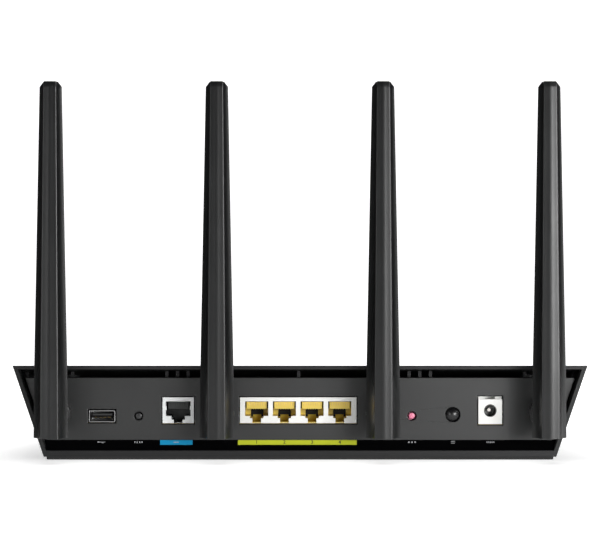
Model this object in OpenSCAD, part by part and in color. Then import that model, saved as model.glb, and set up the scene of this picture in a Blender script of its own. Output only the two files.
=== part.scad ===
// Desktop wireless router: a low wedge-shaped case with four folding antennas on its rear panel.
// The rear panel faces -Y, +X is to the right as seen from behind, and Z = 0 is the table.
// The origin lies under the middle of the whole outline, antennas included.

/* [Case] */
// Width across the rear corners of the top cover
case_w = 289.5; // [282:0.5:305]
// Depth of the case from its rear edge to its front edge
case_d = 167.6; // [160:0.2:190]
// Height of the top cover's rear edge above the table
case_h = 47.4; // [46.4:0.1:54]
// How far each side leans in between the cover's edge and the underside
side_lean = 15.75; // [11:0.25:17.5]
// Height of the top cover where its middle facet ends
front_h = 28; // [27:0.5:32]
// Height of the joint between cover and case at the front
rim_front_h = 20; // [19:0.5:22]
// How far the front wall leans back from top to bottom
front_rake = 12; // [6:0.5:16]
// Thickness of the cover and case walls
wall = 2.2; // [1.8:0.1:2.6]
// Height of the top cover's edge
lid_edge = 1.9; // [1.8:0.1:3]
// Half width of the middle facet at the rear edge
crease_rear = 66; // [50:1:90]
// Half width of the middle facet at its front end
crease_front = 44; // [44:1:56]
// Length of the facet that falls away to the front edge
nose_d = 13; // [8:0.5:16]
// Width of the straight part of the front edge
nose_w = 124; // [116:1:150]

/* [Underside] */
// Thickness of the rubber foot strips
foot_h = 1.5; // [1:0.1:3]
// Width of the rubber foot strips
foot_w = 9; // [6:0.5:12]
// Thickness of the case floor
floor_t = 2.2; // [1.8:0.1:2.6]
// Height of the rear lip above the underside
lip_h = 3.1; // [3:0.1:4]
// Width of one floor vent
vent_w = 2.4; // [1.6:0.1:3]
// Length of one floor vent
vent_l = 24; // [16:1:28]
// Distance from one floor vent to the next
vent_pitch = 6; // [5:0.5:9]

/* [Rear panel] */
// How far the rear panel lies inside the rear edge
panel_recess = 5; // [4.4:0.2:8]
// Thickness of the rear panel
panel_t = 2; // [1.6:0.1:2.6]
// Gap between the rear panel and the side walls
panel_gap = 1.2; // [0.8:0.1:2]
// Height of the ventilation slot under the top cover
slot_h = 4.4; // [3:0.1:4.4]
// Height of the label strip
strip_h = 5; // [4.6:0.1:5.6]
// How far the label strip stands out at its foot
strip_foot = 3.6; // [2.4:0.1:4]
// Gap around a socket in its cut-out
cutout_gap = 0.5; // [0.2:0.05:0.5]

/* [Circuit board] */
// Height of the circuit board's top face, which the sockets stand on
board_z = 18.1; // [17.6:0.1:18.4]
// Thickness of the circuit board
board_t = 1.6; // [1:0.1:2]
// Distance between the circuit board and each side of the underside
board_in = 17; // [16:0.5:21]

/* [Sockets] */
// How far the socket faces stand out of the rear panel
face_proud = 0.3; // [0:0.1:0.8]
// Height of the network socket faces
jack_h = 13; // [12.4:0.1:13.6]
// Place of the USB socket from the middle of its bay between two antennas
usb_in_bay = -17.9; // [-19:0.1:-16]
// Width of the USB socket's shell
usb_w = 13.3; // [13.1:0.1:14]
// Height of the USB socket's shell
usb_h = 6; // [5.8:0.1:6.6]
// Place of the network socket from the middle of its bay
wan_in_bay = 20.6; // [19:0.1:23]
// Width of the network socket's face
wan_w = 15.8; // [15.2:0.1:18]
// Width of the mouth in the network socket's face
wan_mouth_w = 12.5; // [11.7:0.1:13]
// Middle of the block of four sockets across the panel
lan_x = -0.9; // [-3:0.1:3]
// Distance from one socket of the block to the next
lan_pitch = 14; // [13.8:0.05:15]
// Width of a plug opening
plug_w = 11.7; // [11.6:0.1:12.2]
// Height of a plug opening
plug_h = 7.4; // [6.8:0.1:7.6]
// Place of the power inlet from the middle of its bay between two antennas
dc_in_bay = 14; // [13.5:0.1:16]
// Width of the power inlet's face
dc_w = 12; // [11.5:0.1:14]
// Height of the power inlet's body above its foot
dc_h = 13.8; // [12.8:0.1:14.4]
// Radius of the power inlet's hole
dc_r = 2.8; // [2.8:0.05:3.6]
// Radius of the power inlet's centre pin
dc_pin_r = 1; // [0.8:0.05:1.2]

/* [Buttons] */
// Place of the pairing button from the middle of its bay
pairing_in_bay = 0.6; // [-1:0.1:4]
// Place of the reset button from the middle of its bay
reset_in_bay = -25.6; // [-27:0.1:-22]
// Place of the power button from the middle of its bay
power_in_bay = -4.9; // [-7:0.1:-1]
// Radius of the two small buttons
small_button_r = 1.5; // [1.3:0.1:2]
// Radius of the power button
power_button_r = 3.05; // [2.6:0.05:3.2]
// Gap around a button in the rear panel
button_gap = 0.75; // [0.5:0.05:0.9]
// Travel of the two small buttons
small_travel = 0.8; // [0.4:0.1:1]
// Travel of the power button
power_travel = 2; // [1.5:0.1:2.4]

/* [Antennas] */
// Distance from each end of the rear edge to the outer antenna
antenna_edge = 21.5; // [21:0.25:24]
// Height of the antenna sockets above the table
antenna_z = 23.5; // [22.5:0.1:26]
// Length of a blade above its hinge pin
blade_up = 165; // [120:1:200]
// Length of a blade below its hinge pin
blade_down = 11; // [9:0.1:12]
// Width of a blade at its foot
blade_w = 17; // [16.4:0.1:19]
// Width of a blade at its tip
blade_tip_w = 11.1; // [9:0.1:14]
// Depth of a blade from its side edges to its rear face
blade_back = 7.8; // [7.4:0.1:9]
// Depth of a blade from its side edges to its front face
blade_front = 4; // [3.4:0.1:5]
// Width of the flat rear face of a blade
blade_face = 9; // [8:0.1:10]
// Radius of the screw collar
collar_r = 8; // [7:0.1:9]
// Length of the screw collar
collar_l = 8.2; // [7:0.1:10]
// Radius of the hinge pin
pin_r = 1.6; // [1.2:0.05:2]
// Width of the hinge tongue
tongue_w = 5.6; // [4.8:0.1:6]
// Height of the hinge tongue
tongue_h = 8; // [7:0.1:8.6]

/* [Hidden] */
$fn = 48;
eps = 0.01;
ANTENNAS = [1:4];

// Fits
running_gap = 0.05;
pin_gap = 0.02;
seat_gap = 0.3;

// Places across the rear panel
antenna_pitch = (case_w - 2 * antenna_edge) / 3;
usb_x = usb_in_bay - antenna_pitch;
pairing_x = pairing_in_bay - antenna_pitch;
wan_x = wan_in_bay - antenna_pitch;
reset_x = reset_in_bay + antenna_pitch;
power_x = power_in_bay + antenna_pitch;
dc_x = dc_in_bay + antenna_pitch;

// Antenna stations, as distances out of the rear panel
washer_t = 0.8;
elbow_flange_t = 2;
sweep_r = norm([blade_front, blade_down]) + seat_gap;
collar_end = washer_t + collar_l;
flange_end = collar_end + seat_gap + elbow_flange_t;
pin_reach = flange_end + sweep_r;
antenna_reach = pin_reach + blade_back - panel_recess;

// Places along Y
total_d = case_d + antenna_reach;
front_y = total_d / 2;
rear_y = front_y - case_d;
panel_y = rear_y + panel_recess;
pin_y = panel_y - pin_reach;
face_y = panel_y - face_proud;
inner_y = panel_y + panel_t;

// Heights
base_z = foot_h;
floor_z = base_z + floor_t;
lip_z = base_z + lip_h;
belt_z0 = case_h - lid_edge;
slot_z = belt_z0 - slot_h;
board_under = board_z - board_t;

// Flange along the top edge of the rear panel
flange_d = 6;
flange_t = 1.5;

// Outline of the case
base_w = case_w - 2 * side_lean;
flare = side_lean / (case_h - base_z);
side_taper = 6.8;
shoulder_d = 54;
corner_in = 25;
corner_d = 12;
rim_setback = 0.6;

function side_x(z) = base_w / 2 + flare * (z - base_z);
function inner_x(z) = side_x(z) - wall;
function belt_z(y) = belt_z0 + (y - rear_y) * (rim_front_h - belt_z0) / case_d;

// Plan outline of the case, anticlockwise from the left rear corner
function plan(half_w, y1) =
    let (right = [[half_w - side_taper, y1 - shoulder_d], [half_w - corner_in, y1 - corner_d],
                  [nose_w / 2, y1]])
    concat([[-half_w, rear_y], [half_w, rear_y]], right,
           [for (i = [2:-1:0]) [-right[i][0], right[i][1]]]);

function case_plan(z) =
    let (rise = (z - base_z) / (rim_front_h - base_z))
    plan(side_x(z), front_y - rim_setback - front_rake * (1 - rise));

// Moves each side of a closed outline inwards by s
function side_normal(a, b) = let (d = (b - a) / norm(b - a)) [-d[1], d[0]];
function inset(ring, s) =
    let (n = len(ring))
    [for (i = [0:n - 1])
        let (n1 = side_normal(ring[(i + n - 1) % n], ring[i]),
             n2 = side_normal(ring[i], ring[(i + 1) % n]))
        ring[i] + s * (n1 + n2) / (1 + n1 * n2)];

function at_height(ring, z) = [for (p = ring) [p[0], p[1], z]];
function on_belt(ring, rise) = [for (p = ring) [p[0], p[1], belt_z(p[1]) + rise]];

// Side faces between two rings of n points whose first indices are a and b
function skirt_faces(n, a, b, from = 0) =
    [for (i = [from:n - 1])
        let (j = (i + 1) % n)
        each i < n / 2
            ? [[a + i, b + i, b + j], [a + i, b + j, a + j]]
            : [[a + i, b + i, a + j], [b + i, b + j, a + j]]];

// Solid through a list of rings, each with as many points
module loft(rings) {
    n = len(rings[0]);
    last = (len(rings) - 1) * n;
    polyhedron(
        [for (ring = rings) each ring],
        concat([[for (i = [0:n - 1]) i]],
               [for (k = [0:len(rings) - 2]) each skirt_faces(n, k * n, (k + 1) * n)],
               [[for (i = [n - 1:-1:0]) last + i]]));
}

// Plate across the rear of the case between two heights, as wide as the case inside less a gap
module rear_slab(z0, z1, gap, y, t) {
    translate([0, y + t, 0])
        rotate([90, 0, 0])
            linear_extrude(t)
                polygon([[-inner_x(z0) + gap, z0], [inner_x(z0) - gap, z0],
                         [inner_x(z1) - gap, z1], [-inner_x(z1) + gap, z1]]);
}

// Bar along X with the given profile of [y, z] points
module bar_x(x0, x1, profile) {
    translate([x0, 0, 0])
        rotate([90, 0, 90])
            linear_extrude(x1 - x0)
                polygon(profile);
}

// Cylinder along +Y from y0 to y1
module rod_y(r, y0, y1) {
    translate([0, y0, 0])
        rotate([-90, 0, 0])
            cylinder(r = r, h = y1 - y0);
}

// Box given by its two corners
module box(a, b) {
    translate(a)
        cube(b - a);
}

module rounded_rect(w, h, r) {
    square([w, h - 2 * r], center = true);
    square([w - 2 * r, h], center = true);
    for (x = [-1, 1], y = [-1, 1])
        translate([x * (w / 2 - r), y * (h / 2 - r)])
            circle(r);
}

// ---- Screws and bosses -------------------------------------------------------------------

screw_r = 1.45;
screw_head_r = 2.9;
screw_head_t = 1.8;
screw_drive = [3.4, 0.8, 1.6];
screw_inset = 0.4;
clear_gap = 0.1;
boss_r = 4;
case_screw_in = [11, 33];
case_screw_ends = [26, 36];
board_screw_in = [27, 49];
board_screw_ends = [52, 24];

// Four screws, mirrored, set in from the sides of the underside and from the panel or the front
function screw_spots(in, ends) =
    [for (s = [-1, 1]) each
        [[s * (base_w / 2 - in[0]), panel_y + ends[0]],
         [s * (base_w / 2 - in[1]), front_y - ends[1]]]];

case_screw_spots = screw_spots(case_screw_in, case_screw_ends);
board_screw_spots = screw_spots(board_screw_in, board_screw_ends);
cover_boss_z = board_z + 2;
case_screw_top = cover_boss_z + 5;
board_screw_l = 6;
board_boss_r = 3.6;

module screw(head_z, tip_z, head_up) {
    head = head_up ? head_z : head_z - screw_head_t;
    translate([0, 0, min(head_z, tip_z)])
        cylinder(r = screw_r, h = abs(tip_z - head_z));
    difference() {
        translate([0, 0, head])
            cylinder(r = screw_head_r, h = screw_head_t);
        translate([0, 0, head_up ? head + screw_head_t : head])
            for (a = [0, 90])
                rotate(a)
                    cube(screw_drive, center = true);
    }
}

// ---- Top cover ---------------------------------------------------------------------------

cover_slope = atan((case_h - front_h) / (case_d - nose_d));
lip_depth = 3;
lip_t = 1.4;
hook_w = 1.6;
hook_t = 1.8;
hook_nose = 1.2;
hook_drop = 1.6;
hook_shift = -0.7;
hook_spots = [for (x = [-1.4, -0.816, -0.75, -0.684, 0, 0.684, 0.75, 0.816, 1.4])
    x * antenna_pitch + hook_shift];
led_count = 7;
led_pitch = 12;
led_window = [1.6, 5];
led_back = 14;

hook_y = panel_y + flange_d + seat_gap;
catch_z = slot_z - flange_t - seat_gap;

function cover_rim() = plan(side_x(belt_z0), front_y - rim_setback);

// Faceted wedge above the joint: s moves its sides inwards and its top down
module cover_form(s) {
    rim = on_belt(inset(cover_rim(), s), s > 0 ? -1 : 0);
    edge = on_belt(inset(plan(case_w / 2, front_y), s), lid_edge - s);
    crease = [[-crease_rear, rear_y + s, case_h - s],
              [crease_rear, rear_y + s, case_h - s],
              [crease_front, front_y - nose_d - s / 2, front_h - s],
              [-crease_front, front_y - nose_d - s / 2, front_h - s]];
    polyhedron(
        concat(rim, edge, crease),
        concat([[0, 1, 2, 3, 4, 5, 6, 7], [0, 8, 16, 17, 9, 1]],
               skirt_faces(8, 0, 8, 1),
               [[16, 19, 18, 17], [18, 19, 13, 12],
                [17, 18, 10], [17, 10, 9], [18, 11, 10], [18, 12, 11],
                [16, 15, 19], [16, 8, 15], [19, 15, 14], [19, 14, 13]]));
}

// Places its children on the middle facet, with Y down the slope from the facet's front end
module on_cover() {
    translate([0, front_y - nose_d, front_h])
        rotate([-cover_slope, 0, 0])
            children();
}

// Space inside the case walls above the floor, less a further distance s
module case_hollow(s) {
    loft([at_height(inset(case_plan(floor_z), wall + s), floor_z),
          on_belt(inset(cover_rim(), wall + s), 1)]);
}

// Lip under the cover that locates it inside the case walls
module cover_lip() {
    difference() {
        intersection() {
            case_hollow(seat_gap);
            loft([on_belt(cover_rim(), -lip_depth), on_belt(cover_rim(), wall / 4)]);
        }
        case_hollow(seat_gap + lip_t);
        box([-case_w, rear_y - 1, 0], [case_w, inner_y + 8, case_h]);
    }
}

module top_cover() {
    color([0.09, 0.09, 0.1]) {
        difference() {
            cover_form(0);
            cover_form(wall);
            on_cover()
                for (i = [0:led_count - 1])
                    translate([(i - (led_count - 1) / 2) * led_pitch, -led_back, 0])
                        cube([led_window[0], led_window[1], 4 * wall], center = true);
        }
        cover_lip();
        // Hooks that hang behind the rear panel's flange and catch under it
        for (x = hook_spots)
            bar_x(x - hook_w / 2, x + hook_w / 2,
                  [[hook_y - hook_nose, catch_z], [hook_y, catch_z - hook_drop],
                   [hook_y + hook_t, catch_z - hook_drop], [hook_y + hook_t, case_h - 1.5 * wall],
                   [hook_y, case_h - 1.4 * wall], [hook_y, catch_z]]);
        // Bosses that take the case screws
        difference() {
            intersection() {
                for (p = case_screw_spots)
                    translate([p[0], p[1], cover_boss_z])
                        cylinder(r = boss_r, h = case_h);
                union() {
                    cover_form(wall / 2);
                    loft([at_height(cover_rim(), base_z), on_belt(cover_rim(), 0)]);
                }
            }
            for (p = case_screw_spots)
                translate([p[0], p[1], 0])
                    cylinder(r = screw_r + pin_gap, h = case_screw_top + 1);
        }
    }
}

// ---- Bottom case -------------------------------------------------------------------------

lip_d = panel_recess + panel_t + 2;
vent_start = 42;
vent_row_pitch = 32;
vent_rows = [for (k = [0:2]) panel_y + vent_start + k * vent_row_pitch];
vent_span = base_w - 90;
vent_count = floor(vent_span / vent_pitch);

module floor_vents() {
    for (y = vent_rows, i = [0:vent_count])
        translate([(i - vent_count / 2) * vent_pitch, y])
            union() {
                square([vent_w, vent_l - vent_w], center = true);
                for (s = [-1, 1])
                    translate([0, s * (vent_l - vent_w) / 2])
                        circle(vent_w / 2);
            }
}

module boss(p, r, top, bore_r) {
    translate([p[0], p[1], floor_z - eps])
        difference() {
            cylinder(r = r, h = top - floor_z + eps);
            translate([0, 0, -1])
                cylinder(r = bore_r, h = top);
        }
}

module bottom_case() {
    color([0.12, 0.12, 0.13])
        difference() {
            union() {
                difference() {
                    loft([at_height(case_plan(base_z), base_z),
                          on_belt(cover_rim(), 0)]);
                    case_hollow(0);
                    rear_slab(lip_z, case_h, 0, rear_y - 1, wall + 2);
                }
                // Rear lip that the panel and the label strip stand on
                rear_slab(base_z + 1, lip_z, 0, rear_y + wall / 2, lip_d);
                for (p = case_screw_spots)
                    boss(p, boss_r, cover_boss_z - seat_gap, screw_r + clear_gap);
                for (p = board_screw_spots)
                    boss(p, board_boss_r, board_under, screw_r + pin_gap);
            }
            for (p = case_screw_spots)
                translate([p[0], p[1], base_z - 1]) {
                    cylinder(r = screw_r + clear_gap, h = boss_r);
                    cylinder(r = screw_head_r + seat_gap, h = screw_head_t + screw_inset + 1);
                }
            translate([0, 0, base_z - 1])
                linear_extrude(floor_t + 2)
                    floor_vents();
        }
}

// ---- Rear panel --------------------------------------------------------------------------

usb_lift = 0.5;
usb_z = board_z + usb_lift + usb_h / 2;
small_button_z = board_z + 3.6;
power_button_z = board_z + 4.3;
lan_w = 3 * lan_pitch + 16.8;
jack_z = board_z + jack_h / 2;
socket_r = 3.1;

module cutout(x, z, w, h) {
    box([x - w / 2 - cutout_gap, panel_y - 1, z - h / 2 - cutout_gap],
        [x + w / 2 + cutout_gap, inner_y + 1, z + h / 2 + cutout_gap]);
}

function antenna_x(i) = (i - 2.5) * antenna_pitch;

module rear_panel() {
    color([0.27, 0.28, 0.29])
        difference() {
            union() {
                rear_slab(lip_z, slot_z, panel_gap, panel_y, panel_t);
                // Stiffening flange along the top edge, behind the slot
                rear_slab(slot_z - flange_t, slot_z, panel_gap + 2, panel_y, flange_d);
            }
            cutout(usb_x, usb_z, usb_w, usb_h);
            cutout(wan_x, jack_z, wan_w, jack_h);
            cutout(lan_x, jack_z, lan_w, jack_h);
            cutout(dc_x, dc_foot_z + dc_h / 2, dc_w, dc_h);
            translate([pairing_x, 0, small_button_z])
                rod_y(small_button_r + button_gap, panel_y - 1, inner_y + 1);
            translate([reset_x, 0, small_button_z])
                rod_y(small_button_r + button_gap, panel_y - 1, inner_y + 1);
            translate([power_x, 0, power_button_z])
                rod_y(power_button_r + button_gap, panel_y - 1, inner_y + 1);
            for (i = ANTENNAS)
                translate([antenna_x(i), 0, antenna_z])
                    rod_y(socket_r + running_gap, panel_y - 1, inner_y + 1);
        }
}

// ---- Label strip and its two colour markers ----------------------------------------------

strip_z1 = lip_z + strip_h;
strip_top_d = 0.8;
marker_t = 0.5;
marker_h = 2.3;
wan_marker_w = 16.4;
wan_marker_x = wan_x - 0.9;
lan_marker_w = 60;
lan_marker_x = lan_x - 0.4;

function strip_y(z) =
    panel_y - strip_foot + (strip_foot - strip_top_d) * (z - lip_z) / strip_h;

module marker(x, w) {
    z0 = strip_z1 - marker_h;
    z1 = strip_z1;
    bar_x(x - w / 2, x + w / 2,
          [[strip_y(z0), z0], [strip_y(z0) + marker_t, z0],
           [strip_y(z1) + marker_t, z1], [strip_y(z1), z1]]);
}

module label_strip() {
    color([0.02, 0.02, 0.02])
        difference() {
            intersection() {
                bar_x(-case_w / 2, case_w / 2,
                      [[panel_y - strip_foot, lip_z], [panel_y, lip_z],
                       [panel_y, strip_z1], [panel_y - strip_top_d, strip_z1]]);
                rear_slab(lip_z, strip_z1, 0.6, rear_y, panel_recess);
            }
            marker(wan_marker_x, wan_marker_w);
            marker(lan_marker_x, lan_marker_w);
        }
}

module wan_marker() {
    color([0.08, 0.5, 0.69])
        marker(wan_marker_x, wan_marker_w);
}

module lan_marker() {
    color([0.68, 0.72, 0.15])
        marker(lan_marker_x, lan_marker_w);
}

// ---- Feet and screws ---------------------------------------------------------------------

rear_foot_l = base_w - 2.4;
front_foot_l = base_w - 108;
front_foot_in = 30;

module foot_strips() {
    color([0.05, 0.05, 0.05])
        for (strip = [[rear_foot_l, rear_y + 1 + foot_w / 2],
                      [front_foot_l, front_y - front_foot_in]])
            translate([0, strip[1], 0])
                linear_extrude(foot_h)
                    rounded_rect(strip[0], foot_w, 1.5);
}

module case_screws() {
    color([0.3, 0.3, 0.31])
        for (p = case_screw_spots)
            translate([p[0], p[1], 0])
                screw(base_z + screw_head_t + screw_inset, case_screw_top, false);
}

module board_screws() {
    color([0.75, 0.75, 0.77])
        for (p = board_screw_spots)
            translate([p[0], p[1], 0])
                screw(board_z, board_z - board_screw_l, true);
}

// ---- Circuit board and what stands on it -------------------------------------------------

board_y0 = inner_y + 0.4;
board_y1 = front_y - 14;
board_w = base_w - 2 * board_in;
board_nose_w = board_w - 48;
board_shoulder = [58, 46];

module main_board() {
    color([0.05, 0.25, 0.12])
        difference() {
            translate([0, 0, board_under])
                linear_extrude(board_t)
                    polygon([[-board_w / 2, board_y0], [board_w / 2, board_y0],
                             [board_w / 2, board_y1 - board_shoulder[0]],
                             [board_nose_w / 2, board_y1 - board_shoulder[1]],
                             [board_nose_w / 2, board_y1], [-board_nose_w / 2, board_y1],
                             [-board_nose_w / 2, board_y1 - board_shoulder[1]],
                             [-board_w / 2, board_y1 - board_shoulder[0]]]);
            for (p = board_screw_spots)
                translate([p[0], p[1], board_under - 1])
                    cylinder(r = screw_r + clear_gap, h = board_t + 2);
        }
}

chip_t = 1.4;
can_x = [-76, 86];
can_w = 40;
can_l = 46;
can_h = 4;
can_t = 0.4;
transformer_size = [15, 12, 5];
transformer_x = [wan_x, lan_x - 15, lan_x + 15];
transformer_in = 26;
capacitor_x = [68, 78, 88];
capacitor_y = [26, 35];
capacitor_r = 3.4;
capacitor_h = 9;
sink_x = 12;
sink_y = panel_y + 62;
sink_w = 78;
sink_l = 46;
sink_base_t = 2.5;
fin_t = 1.2;
fin_pitch = 5.9;
fin_count = floor(sink_w / fin_pitch);

// Place and width of each square chip; the heat sink lies on the first two
chip_spots = [[sink_x - 18, sink_y, 22], [sink_x + 20, sink_y, 18], [-46, sink_y + 38, 11],
              [40, sink_y + 42, 9], [-20, sink_y + 44, 8]];

module chips() {
    color([0.08, 0.08, 0.08])
        for (c = chip_spots)
            translate([c[0], c[1], board_z + chip_t / 2])
                cube([c[2], c[2], chip_t], center = true);
}

module heat_sink() {
    base = board_z + chip_t;
    top = belt_z(sink_y + sink_l / 2) - wall - 3;
    color([0.75, 0.76, 0.78]) {
        box([sink_x - sink_w / 2, sink_y - sink_l / 2, base],
            [sink_x + sink_w / 2, sink_y + sink_l / 2, base + sink_base_t]);
        for (i = [0:fin_count])
            translate([sink_x + (i - fin_count / 2) * fin_pitch, sink_y, (base + top) / 2])
                cube([fin_t, sink_l, top - base], center = true);
    }
}

// Pressed tin cans, open towards the board
module radio_shields() {
    color([0.8, 0.8, 0.8])
        for (x = can_x)
            translate([x, sink_y + 6, board_z + can_h / 2])
                difference() {
                    cube([can_w, can_l, can_h], center = true);
                    translate([0, 0, -can_t])
                        cube([can_w - 2 * can_t, can_l - 2 * can_t, can_h], center = true);
                }
}

module transformers() {
    color([0.1, 0.1, 0.1])
        for (x = transformer_x)
            translate([x, inner_y + transformer_in, board_z + transformer_size[2] / 2])
                cube(transformer_size, center = true);
}

module capacitors() {
    color([0.15, 0.15, 0.3])
        for (x = capacitor_x, y = capacitor_y)
            translate([x, panel_y + y, board_z])
                cylinder(r = capacitor_r, h = capacitor_h);
}

// ---- Indicator lights and their light guide ----------------------------------------------

led_y = front_y - nose_d - led_back * cos(cover_slope);
led_t = 0.9;
guide_gap = 0.12;
guide_bar = [(led_count - 1) * led_pitch + 6, 7, 2.2];

module at_leds() {
    for (i = [0:led_count - 1])
        translate([(i - (led_count - 1) / 2) * led_pitch, led_y, 0])
            children();
}

module indicator_leds() {
    color([0.95, 0.95, 0.9])
        at_leds()
            translate([0, 0, board_z + led_t / 2])
                cube([1.6, 3, led_t], center = true);
}

module light_guide() {
    bar_z = front_h + led_back * sin(cover_slope) - wall / cos(cover_slope) - guide_bar[2] / 2;
    post_z = board_z + led_t + seat_gap;
    color([0.9, 0.93, 0.95, 0.6]) {
        // Windows that fill the cover's slots, and the bar that joins them under the cover
        on_cover()
            translate([0, -led_back, 0]) {
                for (i = [0:led_count - 1])
                    translate([(i - (led_count - 1) / 2) * led_pitch, 0, -(wall + 2 * guide_gap) / 2])
                        cube([led_window[0] - 2 * guide_gap, led_window[1] - 2 * guide_gap,
                              wall + 2 * guide_gap], center = true);
                translate([0, 0, -wall - guide_gap - guide_bar[2] / 2])
                    cube(guide_bar, center = true);
            }
        // Posts from the bar down to the lights
        at_leds()
            translate([0, 0, (bar_z + post_z) / 2])
                cube([1.6, 3, bar_z - post_z], center = true);
    }
}

// ---- USB socket --------------------------------------------------------------------------

usb_d = 14;
usb_t = 0.45;
usb_corner_r = 0.6;
tongue_t = 1.9;
usb_tongue_w = 10.1;
usb_tongue_y = face_y + 1.6;
usb_tongue_z = usb_z + usb_h / 2 - usb_t - 1.3;
usb_nose = [1, 0.9];
usb_contact_t = 0.1;

module usb_tube(grow, y0, y1) {
    translate([usb_x, y1, usb_z])
        rotate([90, 0, 0])
            linear_extrude(y1 - y0)
                rounded_rect(usb_w + 2 * grow, usb_h + 2 * grow, usb_corner_r + grow);
}

module usb_shell() {
    color([0.8, 0.8, 0.82])
        difference() {
            union() {
                usb_tube(0, face_y, face_y + usb_d);
                // Legs that stand on the board
                for (s = [-1, 1])
                    box([usb_x + s * 5 - 0.8, inner_y + 2, board_z],
                        [usb_x + s * 5 + 0.8, inner_y + 8, usb_z - usb_h / 2 + 0.2]);
            }
            usb_tube(-usb_t, face_y - 1, face_y + usb_d - usb_t);
        }
}

// Tongue with a thin nose, on a block at the back of the shell
module usb_tongue() {
    end_y = face_y + usb_d - usb_t;
    block_y = face_y + usb_d - 3;
    under = usb_tongue_z - tongue_t;
    color([0.12, 0.12, 0.12])
        bar_x(usb_x - usb_tongue_w / 2, usb_x + usb_tongue_w / 2,
              [[usb_tongue_y, usb_tongue_z - usb_nose[1]], [usb_tongue_y + usb_nose[0], under],
               [block_y, under], [block_y, usb_z - 2], [end_y, usb_z - 2],
               [end_y, usb_tongue_z], [usb_tongue_y, usb_tongue_z]]);
}

module usb_contacts() {
    under = usb_tongue_z - tongue_t;
    color([0.85, 0.68, 0.3])
        for (x = [-3.5, -1, 1, 3.5])
            box([usb_x + x - 0.5, usb_tongue_y + usb_nose[0] + 0.3, under - usb_contact_t],
                [usb_x + x + 0.5, face_y + usb_d - 3, under]);
}

// ---- Network sockets ---------------------------------------------------------------------

jack_d = 16;
frame_t = 1.2;
liner_d = 13;
liner_wall = 0.8;
jack_top_wall = 2;
wan_step_h = 1.9;
lan_step_h = 1.1;
comb_w = 10.2;
comb_h = 3.1;
rib_w = 0.35;
rib_l = 2;
rib_down = 2.4;
tooth_w = 0.65;
tooth_h = 0.8;
plug_top = board_z + jack_h - jack_top_wall;
mouth_low = board_z - eps;
tab_low = board_z + 0.5;
step_w = 6.8;
tab_w = 4.4;

// Stepped opening of width w down to height z, for a plug with its latch downwards
module plug_outline(w, z, step_h) {
    low = plug_top - plug_h;
    translate([-w / 2, low])
        square([w, plug_h]);
    translate([-step_w / 2, low - step_h])
        square([step_w, step_h + eps]);
    translate([-tab_w / 2, z])
        square([tab_w, low - step_h - z + eps]);
}

module plug_space(x, w, z, step_h, y0, y1) {
    translate([x, y1, 0])
        rotate([90, 0, 0])
            linear_extrude(y1 - y0)
                plug_outline(w, z, step_h);
}

module liner_block(x) {
    box([x - plug_w / 2 - liner_wall, face_y + frame_t, tab_low - liner_wall / 2],
        [x + plug_w / 2 + liner_wall, face_y + liner_d, plug_top + liner_wall]);
}

module liner(x, step_h) {
    difference() {
        liner_block(x);
        plug_space(x, plug_w, tab_low, step_h, face_y, face_y + liner_d - liner_wall);
    }
}

module housing(x, w, spots, mouth_w, step_h) {
    difference() {
        box([x - w / 2, face_y, board_z], [x + w / 2, face_y + jack_d, board_z + jack_h]);
        for (s = spots) {
            plug_space(s, mouth_w, mouth_low, step_h, face_y - 1, face_y + frame_t + eps);
            liner_block(s);
        }
    }
}

// Row of eight contacts, moulded in one carrier
module contact_comb(x) {
    y0 = face_y + frame_t + 0.6;
    z0 = plug_top - tooth_h - comb_h;
    pitch = comb_w / 8;
    translate([x, y0 + 7, 0])
        rotate([90, 0, 0])
            linear_extrude(7)
                union() {
                    translate([-comb_w / 2, z0])
                        square([comb_w, comb_h]);
                    for (i = [0:7])
                        translate([-comb_w / 2 + (i + 0.5) * pitch - tooth_w / 2, z0])
                            square([tooth_w, comb_h + tooth_h]);
                }
}

function lan_spots() = [for (i = [0:3]) lan_x + (i - 1.5) * lan_pitch];

module wan_housing() {
    color([0.85, 0.86, 0.86]) {
        housing(wan_x, wan_w, [wan_x], wan_mouth_w, wan_step_h);
        // Guide ribs on both sides of the mouth
        for (s = [-1, 1])
            translate([wan_x + s * (wan_mouth_w - rib_w) / 2, 0, 0])
                box([-rib_w / 2 - (s < 0 ? eps : 0), face_y, plug_top - rib_down - rib_l],
                    [rib_w / 2 + (s > 0 ? eps : 0), face_y + frame_t, plug_top - rib_down]);
    }
}

module wan_liner() {
    color([0.05, 0.05, 0.05])
        liner(wan_x, wan_step_h);
}

module wan_contacts() {
    color([0.6, 0.5, 0.3])
        contact_comb(wan_x);
}

module lan_housing() {
    color([0.92, 0.92, 0.9])
        housing(lan_x, lan_w, lan_spots(), plug_w, lan_step_h);
}

module lan_liners() {
    color([0.84, 0.73, 0.2])
        for (x = lan_spots())
            liner(x, lan_step_h);
}

module lan_contacts() {
    color([0.85, 0.68, 0.3])
        for (x = lan_spots())
            contact_comb(x);
}

// ---- Power inlet -------------------------------------------------------------------------

dc_d = 14;
dc_bore_d = 10;
dc_foot_z = board_z - 0.5;
dc_top_z = dc_foot_z + dc_h;
dc_z = board_z + 6.3;
dc_pin_back = 2;
dc_pin_setback = 6.5;
dc_sleeve_t = 0.35;
dc_step_d = 2.4;
dc_step_h = 1.2;
dc_notch_w = 5;
dc_notch_d = 8;

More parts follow.
